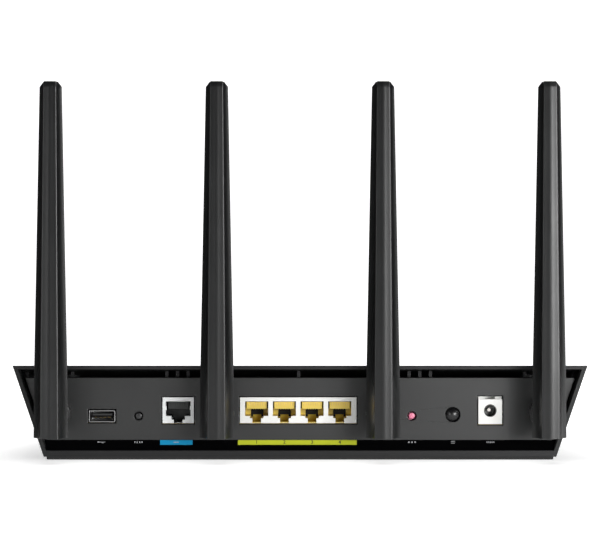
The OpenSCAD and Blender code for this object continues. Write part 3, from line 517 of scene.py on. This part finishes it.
# Each free area from one corner to the other, in millimetres across and in from the rear edge
free_areas = [(-104, 16, -60, 36), (-40, 84, 44, 112), (-72, 86, -46, 108), (52, 86, 84, 108),
              (24, 22, 56, 34), (-54, 34, -32, 84), (98, 40, 110, 80), (-110, 44, -100, 84)]
elbow_room = 2.6
for name, body, size, seed in (("chip_resistors", resistor_body, (1.6, 0.8, 0.45), 3),
                               ("ceramic_capacitors", capacitor_body, (2.0, 1.25, 0.9), 8)):
    corners, faces = [], []
    for x0, y0, x1, y1 in free_areas:
        faces.append(tuple(range(len(corners), len(corners) + 4)))
        for x, y in ((x0, y0), (x1, y0), (x1, y1), (x0, y1)):
            corners.append((x * MM, board_low.y + y * MM, board_high.z + size[2] / 2 * MM))
    recipe = small_parts(name, body)
    parts = recipe.bake(name, outline_mesh(name, corners, faces=faces),
                        part_size=tuple(s * MM for s in size),
                        spacing=(elbow_room + size[2]) * MM, seed=seed)
    piece(name, parts, "case", "chip_black")

# ---- Chips and their legs --------------------------------------------------------------------
# Square flat packs in moulded epoxy, soldered by a row of bent tinned legs along each side. The
# two largest lie under the heat sink.
epoxy = moulded_plastic("moulded_epoxy", (0.012, 0.012, 0.012), 0.55, 0.1 * MM, 0.01 * MM)
moulded("chips", "case", "chip_black", epoxy, 0.12 * MM, "flat_packs")

root, knee, sole, toe = 0.2 * MM, 0.7 * MM, 0.08 * MM, 1.1 * MM
leg_row = Recipe("chip_leg_row", pitch=0.8 * MM, leg_width=0.34 * MM, leg_thick=0.14 * MM,
                 stand=0.7 * MM)
gull_wing = leg_row.node("GeometryNodeCurvePrimitiveBezierSegment", {}, {
    "Resolution": 6, "Start": leg_row.vector(0.0, root, leg_row.size["stand"]),
    "Start Handle": leg_row.vector(0.0, -knee, leg_row.size["stand"]),
    "End Handle": (0, -root, sole), "End": (0, -toe, sole)})
leg_section = leg_row.node("GeometryNodeCurvePrimitiveQuadrilateral", {}, {
    "Width": leg_row.size["leg_width"], "Height": leg_row.size["leg_thick"]})
leg = leg_row.node("GeometryNodeCurveToMesh", {}, {
    "Curve": gull_wing, "Profile Curve": leg_section, "Fill Caps": True})
side_lines = leg_row.node("GeometryNodeMeshToCurve", {}, {"Mesh": leg_row.outline})
spacing = {"Curve": side_lines, "Length": leg_row.size["pitch"]}
spots = leg_row.node("GeometryNodeCurveToPoints", {"mode": "LENGTH"}, spacing)
along = leg_row.node("GeometryNodeCurveToPoints", {"mode": "LENGTH"}, spacing, "Tangent")
facing = leg_row.node("FunctionNodeAlignEulerToVector", {"axis": "X"}, {"Vector": along})
leg_row.finish(leg_row.node("GeometryNodeInstanceOnPoints", {}, {
    "Points": spots, "Instance": leg, "Rotation": facing}), tin)

inset = 1.2 * MM
corners, sides = [], []
for low, high in islands("chips"):
    for ends in (((low.x + inset, low.y), (high.x - inset, low.y)),
                 ((high.x, low.y + inset), (high.x, high.y - inset)),
                 ((high.x - inset, high.y), (low.x + inset, high.y)),
                 ((low.x, high.y - inset), (low.x, low.y + inset))):
        sides.append((len(corners), len(corners) + 1))
        corners += [(x, y, board_high.z) for x, y in ends]
legs = leg_row.bake("chip_legs", outline_mesh("chip_sides", corners, sides))
piece("chip_legs", legs, "case", "tinplate")

# ---- Heat sink and radio shields -------------------------------------------------------------
# An anodised aluminium extrusion with straight fins over the main chip, and two folded tinplate
# cans over the radio sections. Their rows of small vent holes are painted shade: dark spots in
# the colour, not cut holes.


def drawn_metal(name, colour, rough, stretch=(1, 1, 1), line=0.12 * MM):
    """Bare or plated metal with drawing lines along the axis that stretch shortens."""
    finish = Finish(name, Metallic=1.0)
    lines = finish.noise(line, 2.0, stretch)
    stain = finish.noise(3 * MM, 2.0)
    finish.feed(Base_Color=finish.shades(0.5 * lines + 0.5 * stain, colour, 0.12),
                Roughness=rough + 0.12 * lines, Normal=finish.bump(lines, 0.004 * MM))
    return finish.material


aluminium = drawn_metal("extruded_aluminium", (0.62, 0.63, 0.65), 0.32, (1, 0.03, 1))
moulded("heat_sink", "case", "aluminium", aluminium, 0.12 * MM, "finned_heat_sink")

vent_pitch, vent_share = 3.2 * MM, 0.2
tinplate = Finish("tinplate_shield", Metallic=1.0)
# Painted shade: each vent hole is a dark spot in the colour, with a dip in the bump and a duller
# gloss, standing in for the shade inside a cut hole.
vent_hole_shade = tinplate.node("ShaderNodeTexVoronoi", {"feature": "F1"}, {
    "Vector": tinplate.place(), "Scale": 1 / vent_pitch, "Randomness": 0.0},
    "Distance") < vent_share
rolled = tinplate.noise(0.15 * MM, 2.0, (1, 0.05, 1))
tinplate.feed(Base_Color=tinplate.mix(vent_hole_shade, (0.58, 0.57, 0.55, 1), (0.02, 0.02, 0.02, 1)),
              Roughness=0.24 + 0.12 * rolled + 0.3 * vent_hole_shade,
              Normal=tinplate.bump(rolled - 4.0 * vent_hole_shade, 0.01 * MM))
moulded("radio_shields", "case", "tinplate", tinplate.material, 0.3 * MM, "shield_cans")

# ---- Transformers and capacitors -------------------------------------------------------------
# Black moulded network transformers behind the sockets, and aluminium capacitors standing on
# the board in printed sleeves, with a scored vent in the top of the can.
transformer_black = moulded_plastic("transformer_epoxy", (0.016, 0.015, 0.014), 0.5, 0.12 * MM)
moulded("transformers", "case", "chip_black", transformer_black, 0.2 * MM, "network_transformers")


def capacitor_sleeve(name, boxes):
    """Shrunk sleeve with a pale minus band, and a scored bare can top."""
    bare_top, band_from, score_half = 0.25 * MM, 0.75, 0.15 * MM
    finish = Finish(name)
    where = finish.node("ShaderNodeTexCoord", {}, {}, "Object")
    axes = [finish.axis(where, k) for k in range(3)]
    rim = finish.noise(0.3 * MM, 2.0)
    top = axes[2] > max(high.z for low, high in boxes) - bare_top
    band = 0.0 * axes[0]
    score = 0.0 * axes[0]
    for low, high in boxes:
        centre, r = (low + high) / 2, (high.x - low.x) / 2
        near = (axes[0] > low.x - MM) * (axes[0] < high.x + MM) * (axes[1] > low.y - MM) * (
            axes[1] < high.y + MM)
        band = band + near * (axes[0] < centre.x - band_from * r)
        aside = axes[0] - centre.x
        score = score + near * (aside.math("ABSOLUTE", aside) < score_half)
    sleeve = finish.mix(band, (0.012, 0.02, 0.05, 1), (0.45, 0.47, 0.5, 1))
    finish.feed(Base_Color=finish.mix(top, sleeve, (0.6, 0.6, 0.62, 1)),
                Metallic=top * 1.0, Roughness=0.3 + 0.15 * rim,
                Normal=finish.bump(rim * 0.2 - score * top, 0.08 * MM))
    return finish.material


moulded("capacitors", "case", "capacitor_sleeve",
        capacitor_sleeve("capacitor_sleeve", islands("capacitors")), 0.3 * MM, "round_capacitors")

# ---- Indicator lights and their light guide --------------------------------------------------
# White surface-mount diodes on the board's front edge, and a clear acrylic guide that carries
# their light up to the slots in the cover.
diode = Finish("diode_resin", Roughness=0.3)
phosphor = diode.noise(0.4 * MM, 2.0)
diode.feed(Base_Color=diode.mix(phosphor, (0.75, 0.72, 0.45, 1), (0.82, 0.82, 0.78, 1)))
moulded("indicator_leds", "case", "led_white", diode.material, 0.08 * MM, "indicator_diodes")
acrylic = Finish("clear_acrylic", Transmission_Weight=0.85, IOR=1.49)
swirl = acrylic.noise(5 * MM, 2.0)
acrylic.feed(Base_Color=acrylic.shades(swirl, (0.86, 0.89, 0.9), 0.03),
             Roughness=0.1 + 0.15 * swirl)
moulded("light_guide", "case", "light_guide", acrylic.material, 0.15 * MM, "light_pipes")

# ---- USB socket ------------------------------------------------------------------------------
# A folded tinned-steel shell with two retention dimples in its floor, a black tongue with four
# gold contacts on its underside.
shell_steel = drawn_metal("tinned_steel_shell", (0.30, 0.30, 0.30), 0.3, (1, 0.04, 1))
moulded("usb_shell", "case", "tinplate", shell_steel, 0.12 * MM, "usb_shell_folded")
insulator_black = moulded_plastic("insulator_black", (0.010, 0.010, 0.010), 0.4, 0.15 * MM)
moulded("usb_tongue", "case", "insulator_black", insulator_black, 0.15 * MM, "usb_tongue_block")
gold = drawn_metal("gold_plate", (0.60, 0.42, 0.17), 0.3, (1, 0.05, 1), 0.08 * MM)
dress("usb_contacts", gold)

# ---- Network socket --------------------------------------------------------------------------
# Grey-white housing with a black liner for one network plug, latch downwards. Eight plated
# spring wires lie over a black comb at the top of its mouth.
socket_white = moulded_plastic("socket_white", (0.84, 0.84, 0.81), 0.4, 0.25 * MM, 0.008 * MM)
socket_grey = moulded_plastic("socket_grey_white", (0.84, 0.855, 0.85), 0.4, 0.25 * MM, 0.008 * MM)
moulded("wan_housing", "case", "socket_grey", socket_grey, 0.15 * MM, "wan_socket_body")
moulded("wan_liner", "case", "insulator_black", insulator_black, 0.1 * MM, "wan_socket_liner")


def spring_combs(node, name, plastic, metal):
    """The comb and spring wires of each socket of a CAD node, in place of the node."""
    wire_count, sunk, drop = 8, 0.4 * MM, 0.2 * MM
    r = Recipe(name, comb=(10.2 * MM, 6.6 * MM, 3.5 * MM), pitch=1.2 * MM,
               wire_radius=0.16 * MM, tick=(0.3 * MM, 0.5 * MM, 0.7 * MM))
    depth, height = (r.axis(r.size["comb"], k) for k in (1, 2))
    bar_of_comb = r.node("GeometryNodeMeshCube", {}, {"Size": r.size["comb"]})
    places = r.node("GeometryNodeMeshLine", {}, {
        "Count": wire_count,
        "Start Location": r.vector(-(wire_count - 1) / 2 * r.size["pitch"], -0.5 * depth, 0.0),
        "Offset": r.vector(r.size["pitch"])})
    notches = r.node("GeometryNodeInstanceOnPoints", {}, {
        "Points": r.moved(places, Translation=r.vector(z=0.5 * height)),
        "Instance": r.node("GeometryNodeMeshCube", {}, {"Size": r.size["tick"]})})
    comb = r.node("GeometryNodeMeshBoolean", {"operation": "DIFFERENCE", "solver": "EXACT"}, {
        "Mesh 1": bar_of_comb,
        "Mesh 2": r.node("GeometryNodeRealizeInstances", {}, {"Geometry": notches})})
    path = r.node("GeometryNodeCurvePrimitiveBezierSegment", {}, {
        "Resolution": 12, "Start": r.vector(0.0, 0.0, 0.5 * height - sunk),
        "Start Handle": r.vector(0.0, -0.1 * MM, 0.0),
        "End Handle": r.vector(0.0, -0.05 * MM, -0.5 * height - 0.6 * MM),
        "End": r.vector(0.0, 0.8 * depth, -0.5 * height - 0.5 * MM)})
    wire = r.node("GeometryNodeCurveToMesh", {}, {
        "Curve": path, "Fill Caps": True,
        "Profile Curve": r.node("GeometryNodeCurvePrimitiveCircle", {}, {
            "Resolution": 8, "Radius": r.size["wire_radius"]})})
    wire = r.node("GeometryNodeStoreNamedAttribute", {"data_type": "BOOLEAN", "domain": "FACE"},
                  {"Geometry": wire, "Name": "wire", "Value": True})
    wires = r.node("GeometryNodeInstanceOnPoints", {}, {"Points": places, "Instance": wire})
    row = r.node("GeometryNodeRealizeInstances", {}, {
        "Geometry": r.node("GeometryNodeJoinGeometry", {}, {"Geometry": [comb, wires]})})
    r.finish(r.node("GeometryNodeInstanceOnPoints", {}, {"Points": r.outline, "Instance": row}),
             plastic, ("wire", metal))
    spots = [(low + high) / 2 - Vector((0, 0, drop)) for low, high in islands(node)]
    mesh = r.bake(name, outline_mesh(name, spots))
    mesh.set_sharp_from_angle(angle=math.radians(40))
    piece(name, mesh, "case", "gold", node)


dull_wire = drawn_metal("tinned_wire", (0.05, 0.05, 0.05), 0.4, (1, 1, 0.05), 0.08 * MM)
spring_combs("wan_contacts", "wan_springs", insulator_black, dull_wire)

# ---- Block of four sockets -------------------------------------------------------------------
# One white housing with a yellow liner in each of its four mouths, and brass-coloured spring
# wires over a yellow comb. Behind each mouth stand near-black blocks that are painted shade: they
# fill the depth beside and under the comb, where the mouth is only in shade. A yellow stop for the
# latch stands below them.
socket_yellow = moulded_plastic("socket_yellow", (0.70, 0.52, 0.085), 0.4, 0.25 * MM, 0.008 * MM)
moulded("lan_housing", "case", "socket_white", socket_white, 0.15 * MM, "lan_socket_body")
moulded("lan_liners", "case", "liner_yellow", socket_yellow, 0.1 * MM, "lan_socket_liners")
spring_combs("lan_contacts", "lan_springs", socket_yellow, gold)

# Painted shade: the near-black blocks behind each mouth stand in for the shade deep inside it,
# beside and under the comb.
insert_black = moulded_plastic("insert_black", (0.004, 0.0034, 0.003), 0.5, 0.15 * MM, shine=0.2)
shade_blocks, stops = bmesh.new(), bmesh.new()
behind_mouth, stop_lean, corner_cut = 0.8 * MM, 2.2, 0.1 * MM
box_faces = ((0, 1, 2, 3), (7, 6, 5, 4), (1, 5, 6, 2), (2, 6, 7, 3), (0, 4, 5, 1), (0, 3, 7, 4))
for low, high in islands("lan_liners"):
    centre = (low.x + high.x) / 2
    back = high.y - behind_mouth
    # Half the width, the depth, and the heights of the foot and the top, in millimetres
    for shape, half, front, z0, z1 in ((shade_blocks, 3.2, 0.3, 20.6, 25.1),
                                       (shade_blocks, 5.7, 0.35, 24.9, 28.8),
                                       (stops, 2.05, 2.6, 18.7, 21.7)):
        lean = 0.0 if shape is shade_blocks else stop_lean
        corners = [shape.verts.new((centre + x * MM, back - y * MM, z * MM)) for x in (-half, half)
                   for y, z in ((0, z0), (front, z0), (front - lean, z1), (0, z1))]
        for face in box_faces:
            shape.faces.new([corners[k] for k in face])
for shape, name, plastic, slot in ((shade_blocks, "socket_inserts", insert_black, "insulator_black"),
                                   (stops, "latch_stops", socket_yellow, "liner_yellow")):
    bmesh.ops.recalc_face_normals(shape, faces=shape.faces)
    bmesh.ops.bevel(shape, geom=shape.edges, offset=corner_cut, segments=1, affect="EDGES")
    mesh = bpy.data.meshes.new(name)
    shape.to_mesh(mesh)
    shape.free()
    mesh.materials.append(plastic)
    piece(name, mesh, "case", slot)

# ---- Power inlet -----------------------------------------------------------------------------
# White block with a notch in its top edge, a black sleeve in the bore and a nickel-plated pin in
# the middle.
moulded("dc_housing", "case", "socket_white", socket_white, 0.15 * MM, "power_inlet_block")
moulded("dc_sleeve", "case", "insulator_black", insulator_black, 0.08 * MM, "inlet_sleeve")
nickel = drawn_metal("nickel_plate", (0.62, 0.60, 0.56), 0.2, (1, 0.05, 1), 0.08 * MM)
moulded("dc_pin", "case", "nickel", nickel, 0.15 * MM, "inlet_pin")

# ---- Buttons and their switches --------------------------------------------------------------
# A black and a pink round key under a finger nail's width, and the larger domed power key in
# polished black. Each presses a small switch on the board.
key_black = moulded_plastic("key_black", (0.012, 0.012, 0.013), 0.35, 0.2 * MM, 0.006 * MM)
key_pink = moulded_plastic("key_pink", (0.90, 0.25, 0.39), 0.4, 0.2 * MM, 0.006 * MM)
key_gloss = polished_plastic("key_gloss", (0.006, 0.006, 0.0065), 0.26, 0.45)
moulded("pairing_button", "pairing_button", "button_black", key_black, 0.25 * MM, "pairing_key")
moulded("reset_button", "reset_button", "button_pink", key_pink, 0.25 * MM, "reset_key")
moulded("power_button", "power_button", "button_gloss", key_gloss, 0.2 * MM, "power_key")
moulded("button_switches", "case", "insulator_black", insulator_black, 0.15 * MM, "key_switches")

# ---- Antenna sockets, nuts and collars -------------------------------------------------------
# Turned brass sockets held in the panel by hexagon nuts, each under a moulded collar with a
# smooth rim and a fluted grip.
brass = drawn_metal("gilt_brass", (0.80, 0.58, 0.28), 0.26, (1, 0.3, 1), 0.1 * MM)
dress("antenna_sockets", brass)
moulded("socket_nuts", "case", "brass", brass, 0.2 * MM, "hexagon_nuts")
collar_plastic = moulded_plastic("collar_abs", (0.008, 0.008, 0.0085), 0.4, 0.3 * MM)
moulded("antenna_collars", "case", "collar_plastic", collar_plastic, 0.2 * MM, "screw_collars")

# ---- Elbows, hinge pins and radiators --------------------------------------------------------
# Each antenna stands on a moulded elbow that turns in its collar and carries a plain steel pin.
# The radiator is a strip of copper-clad board that stands inside the blade.
elbow_plastic = moulded_plastic("elbow_abs", (0.010, 0.010, 0.0105), 0.38, 0.3 * MM)
strip_board = solder_mask("radiator_strip", (0.16, 0.09, 0.03))
for i in range(1, 5):
    moulded(f"antenna_{i}_elbow", f"elbow_{i}", "elbow_plastic", elbow_plastic, 0.3 * MM,
            f"elbow_{i}_joint")
    dress(f"antenna_{i}_pin", bright_steel)
    dress(f"antenna_{i}_radiator", strip_board)

# ---- Antenna shells --------------------------------------------------------------------------
# Each blade is two long hollow mouldings glued along their side edges: a faceted rear shell with
# a slight ridge, and a flatter front shell. Both taper to a chamfered tip and are forked at the
# foot round the elbow.
antenna_plastic = moulded_plastic("satin_antenna_abs", (0.005, 0.0053, 0.0055), 0.30,
                                  0.35 * MM, shine=0.42)


def bowed(a, b, bulge, steps):
    """Points from a to b along an arc that stands bulge to the left of the straight line."""
    across = Vector((a[1] - b[1], b[0] - a[0])).normalized()
    return [Vector(a).lerp(Vector(b), k / steps)
            + across * (4 * bulge * k / steps * (1 - k / steps)) for k in range(steps + 1)]


def softened(points, corner, radius, steps=5):
    """The closed outline with the given corner replaced by a small arc."""
    here = points[corner]
    before = (points[corner - 1] - here).normalized()
    after = (points[(corner + 1) % len(points)] - here).normalized()
    half = before.angle(after) / 2
    centre = here + (before + after).normalized() * (radius / math.sin(half))
    start, end = here + before * (radius / math.tan(half)), here + after * (radius / math.tan(half))
    spread = (start - centre).normalized(), (end - centre).normalized()
    arc = [centre + radius * spread[0].slerp(spread[1], k / steps) for k in range(steps + 1)]
    return points[:corner] + arc + points[corner + 1:]


shell = Recipe("antenna_shell", foot_length=11 * MM, shoulder=23 * MM, chamfer_start=162.5 * MM,
               tip_height=165 * MM, shoulder_width=0.965, tip_width=0.653, end_width=0.43,
               shoulder_depth=0.97, tip_depth=0.64, end_depth=0.58, face_depth=-7.45 * MM,
               hollow_scale=(0.788, 0.897, 1.0), hollow_shift=(0.0, 1.0 * MM, 0.0),
               slot_radius=4.9 * MM, slot_width=6.2 * MM, bore_radius=1.62 * MM,
               bore_length=13.9 * MM, pin_place=(0.0, 0.0, 0.0))
size = shell.size
section = shell.node("GeometryNodeMeshToCurve", {}, {"Mesh": shell.outline})


def tapered(section, low, high):
    """The section swept from low to high and narrowed by the rule of the blade."""
    rings, follows = 353, 0.8
    path = shell.node("GeometryNodeCurvePrimitiveLine", {}, {
        "Start": shell.vector(z=low), "End": shell.vector(z=high)})
    path = shell.node("GeometryNodeResampleCurve", {}, {"Curve": path, "Count": rings})
    swept = shell.node("GeometryNodeCurveToMesh", {}, {
        "Curve": path, "Profile Curve": section, "Fill Caps": True})
    place = shell.node("GeometryNodeInputPosition")
    x, y, z = (shell.axis(place, k) for k in range(3))

    def between(start, end, first, last):
        return shell.node("ShaderNodeMapRange", {"clamp": True}, {
            "Value": z, "From Min": start, "From Max": end, "To Min": first, "To Max": last})

    foot, shoulder = -1.0 * size["foot_length"], size["shoulder"]
    start, tip = size["chamfer_start"], size["tip_height"]
    width = (between(foot, shoulder, 1.0, size["shoulder_width"])
             + between(shoulder, start, 0.0, size["tip_width"] - size["shoulder_width"])
             + between(start, tip, 0.0, size["end_width"] - size["tip_width"]))
    depth = (between(foot, shoulder, 1.0, size["shoulder_depth"])
             + between(shoulder, start, 0.0, size["tip_depth"] - size["shoulder_depth"])
             + between(start, tip, 0.0, size["end_depth"] - size["tip_depth"]))
    face = shell.node("ShaderNodeMapRange", {"clamp": True}, {
        "Value": y, "From Min": 0.0, "From Max": size["face_depth"], "To Min": 0.0, "To Max": 1.0})
    narrowed = x * (width + face * ((1 - follows) + follows * depth - width))
    return shell.node("GeometryNodeSetPosition", {}, {
        "Geometry": swept, "Position": shell.vector(narrowed, y * depth, z)})


def rod(radius, length):
    """A cutter along the hinge pin."""
    bar = shell.node("GeometryNodeMeshCylinder", {}, {
        "Vertices": 48, "Radius": radius, "Depth": length})
    return shell.moved(bar, Rotation=(0, math.pi / 2, 0))


def block(y0, y1, z0, z1):
    """A cutter as wide as the fork's slot."""
    cube = shell.node("GeometryNodeMeshCube", {}, {
        "Size": shell.vector(size["slot_width"], y1 - y0, z1 - z0)})
    return shell.moved(cube, Translation=shell.vector(0.0, 0.5 * (y0 + y1), 0.5 * (z0 + z1)))


hollow = shell.moved(section, Translation=size["hollow_shift"], Scale=size["hollow_scale"])
web, cap, past = 2 * MM, 1.8 * MM, 4 * MM
r = size["slot_radius"]
cutters = [tapered(hollow, r + web, size["chamfer_start"] - cap),
           rod(r, size["slot_width"]), rod(size["bore_radius"], size["bore_length"]),
           block(0.0 * r, r + past, -1.0 * r, r), block(-1.0 * r, r + past, -3.0 * r, 0.0 * r)]
body = tapered(section, -1.0 * size["foot_length"], size["tip_height"])
for cutter in cutters:
    body = shell.node("GeometryNodeMeshBoolean", {"operation": "DIFFERENCE", "solver": "EXACT"},
                      {"Mesh 1": body, "Mesh 2": cutter})
shell.finish(shell.moved(body, Translation=size["pin_place"]), antenna_plastic)

# Half outlines in millimetres, from the glued edge to the middle, X across and Y out of the blade
glued_edge, crease, ridge, crease_round = (-8.5, 0), (-4.5, -7.45), (0, -7.8), 0.8
side = bowed(glued_edge, crease, 0.67, 10)
rear_half = side[:-1] + bowed(crease, ridge, 0.06, 4)
rear_half = softened(rear_half, len(side) - 1, crease_round)
front_half = [Vector(glued_edge), Vector((-5.1, 4)), Vector((0, 4))]
front_half = softened(front_half, 1, crease_round)
facet_angle = math.radians(14)


def whole(half):
    """Mirrors a half outline and turns it anticlockwise, in metres."""
    points = half + [Vector((-p.x, p.y)) for p in half[-2::-1]]
    area = sum(a.x * b.y - b.x * a.y for a, b in zip(points, points[1:] + points[:1]))
    return [(p.x * MM, p.y * MM, 0) for p in (points if area > 0 else points[::-1])]


for i in range(1, 5):
    pin = middle(f"antenna_{i}_pin")
    for node, half, name, own in (
            ("blade", rear_half, f"rear_shell_{i}", {}),
            ("cover", front_half, f"front_shell_{i}", {
                "face_depth": 1.0, "hollow_scale": (0.788, 0.8, 1.0),
                "hollow_shift": (0.0, -1.0 * MM, 0.0)})):
        points = whole(half)
        loop = [(k, (k + 1) % len(points)) for k in range(len(points))]
        mesh = shell.bake(name, outline_mesh(name, points, loop), pin_place=tuple(pin), **own)
        mesh.shade_smooth()
        mesh.set_sharp_from_angle(angle=facet_angle)
        piece(name, mesh, f"arm_{i}", "antenna_plastic", f"antenna_{i}_{node}")

# ---- Top cover -------------------------------------------------------------------------------
# A faceted wedge that snaps over the tub, with seven slots for the indicator lights near its
# front. Its rear edge overhangs the panel and leaves a dark slot where its hooks show.
cover_plastic = moulded_plastic("satin_cover_abs", (0.012, 0.0124, 0.0128), 0.38, 0.4 * MM,
                                shine=0.27)
moulded("top_cover", "case", "cover_plastic", cover_plastic, 0.2 * MM, "lid")

# ---- Feet and case screws --------------------------------------------------------------------
# Two die-cut rubber strips stuck to the underside, and four blackened cross-head screws in
# counterbored holes through the floor.


foot_rubber = speckled("foot_rubber", (0.018, 0.018, 0.018), 0.2, 0.8, 0.12, 0.3 * MM, 4.0,
                       depth=0.05 * MM)
moulded("foot_strips", "case", "rubber", foot_rubber, 0.25 * MM, "rubber_feet")
black_steel = drawn_metal("blackened_steel", (0.22, 0.22, 0.23), 0.35)
moulded("case_screws", "case", "screw_steel", black_steel, 0.12 * MM, "cross_head_screws")

# ---- Studio ----------------------------------------------------------------------------------
# A white sweep with side walls in a dark room. A soft light overhead, key lights to the right of
# the camera, a weak fill to its left, and a light beyond each side edge of the router. Black
# flags outside the picture keep the sides of the antennas dark.
camera_distance = 1.050
camera_height = 0.0955
picture_width_at_edge = 301.92 * MM
sensor_width = 36

rear_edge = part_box("top_cover")[0].y
camera = bpy.data.cameras.new("camera")
camera.sensor_width = sensor_width
camera.lens = sensor_width * camera_distance / picture_width_at_edge
eye = bpy.data.objects.new("camera", camera)
eye.location = (0, rear_edge - camera_distance, camera_height)
eye.rotation_euler = (math.radians(90), 0, 0)
bpy.context.scene.collection.objects.link(eye)
bpy.context.scene.camera = eye


def stage_sheet(name, rows, material):
    """A sheet through rows of points, which belongs to the studio and not to the router."""
    shape = bmesh.new()
    lines = [[shape.verts.new(point) for point in row] for row in rows]
    for near, far in zip(lines, lines[1:]):
        shape.faces.new((near[0], near[1], far[1], far[0]))
    mesh = bpy.data.meshes.new(name)
    shape.to_mesh(mesh)
    shape.free()
    mesh.shade_smooth()
    mesh.materials.append(material)
    made = bpy.data.objects.new(name, mesh)
    bpy.context.scene.collection.objects.link(made)
    made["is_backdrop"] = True
    return made


def white_seen(finish, plain):
    """1 for rays of the camera, of mirrors and of clear plastic, and plain for soft light."""
    rays = [finish.node("ShaderNodeLightPath", {}, {}, kind)
            for kind in ("Is Camera Ray", "Is Glossy Ray", "Is Transmission Ray")]
    return plain + (1.0 - plain) * rays[0].math("MINIMUM", rays[0] + rays[1] + rays[2], 1.0)


bend_r, bend_from, sweep_half, sweep_top = 1.2, 2.2, 6.0, 6.0
sweep_path = [(-sweep_half, 0.0), (bend_from, 0.0)]
sweep_path += [(bend_from + bend_r * math.sin(a), bend_r * (1 - math.cos(a)))
               for a in (math.radians(10 * k) for k in range(1, 10))]
sweep_path += [(bend_from + bend_r, sweep_top)]
paper = Finish("white_paper", Roughness=0.9, Base_Color=(0.8, 0.8, 0.8, 1),
               Emission_Color=(1, 1, 1, 1), Specular_IOR_Level=0.0)
across, back = (paper.axis(paper.node("ShaderNodeTexCoord", {}, {}, "Object"), k)
                for k in (0, 1))
stage_sheet("studio_sweep", [[(x, y, z) for x in (-sweep_half, sweep_half)]
                             for y, z in sweep_path], paper.material)
for side in (-sweep_half, sweep_half):
    stage_sheet("studio_wall", [[(side, y, z) for y in (-sweep_half, bend_from + bend_r)]
                                for z in (0.0, sweep_top)], paper.material)
# The paper glows less where it lies close to the router, so that the floor takes its shadow
behind, beside = (paper.node("ShaderNodeMapRange", {"interpolation_type": "SMOOTHSTEP"}, {
    "Value": place, "From Min": near, "From Max": far, "To Min": 0.5, "To Max": 1.0})
    for place, near, far in ((back, -0.15, 0.45), (across * across, 1.0, 5.0)))
lit = behind.math("MAXIMUM", behind, beside)
paper.tree.links.new((white_seen(paper, 0.3) * lit).socket,
                     paper.shader.inputs["Emission Strength"])

flag_cloth = Finish("black_flag", Roughness=0.95, Specular_IOR_Level=0.0)
weave = flag_cloth.noise(2 * MM, 2.0)
flag_cloth.feed(Base_Color=flag_cloth.shades(weave, (0.01, 0.01, 0.01), 0.3))
# Each flag's place across, its near and far ends, and its height
for x, near, far, top in ((-0.55, -0.25, 2.0, 1.0), (0.55, 0.05, 2.0, 1.0),
                          (-0.2, -0.08, 0.5, 0.12), (0.2, -0.02, 0.5, 0.12)):
    flag = stage_sheet("side_flag", [[(x, y, 0.0), (x, y, top)] for y in (near, far)],
                       flag_cloth.material)
    flag.visible_camera = False
    flag.visible_shadow = False


def soft_light(name, place, aim, size, power):
    """A rectangular soft box at a place, turned to its aim, with its power in watts."""
    lamp = bpy.data.lights.new(name, "AREA")
    lamp.shape = "RECTANGLE"
    lamp.size, lamp.size_y = size
    lamp.energy = power
    made = bpy.data.objects.new(name, lamp)
    made.location = place
    made.rotation_euler = (Vector(aim) - Vector(place)).to_track_quat("-Z", "Y").to_euler()
    bpy.context.scene.collection.objects.link(made)


soft_light("overhead", (0, 0.1, 1.5), (0, 0, 0), (1.4, 1.0), 13)
at_panel = (0, -0.07, 0.1)
soft_light("key", (1.0, -1.68, 0.22), at_panel, (0.6, 0.42), 23)
soft_light("fill", (-1.0, -1.68, 0.22), at_panel, (0.6, 0.42), 4.5)
soft_light("front_right", (0.65, -1.86, 0.22), at_panel, (0.35, 0.42), 4.5)
soft_light("right_edge", (1.88, -0.33, 0.45), at_panel, (0.5, 0.85), 16)
soft_light("left_edge", (-1.88, -0.33, 0.45), at_panel, (0.5, 0.85), 5)

room = bpy.data.worlds.new("studio_room")
room.use_nodes = True
room.node_tree.nodes["Background"].inputs["Strength"].default_value = 0.03
room.node_tree.nodes["Background"].inputs["Color"].default_value = (1, 1, 1, 1)
bpy.context.scene.world = room
bpy.context.scene.view_settings.view_transform = "Standard"

low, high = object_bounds()
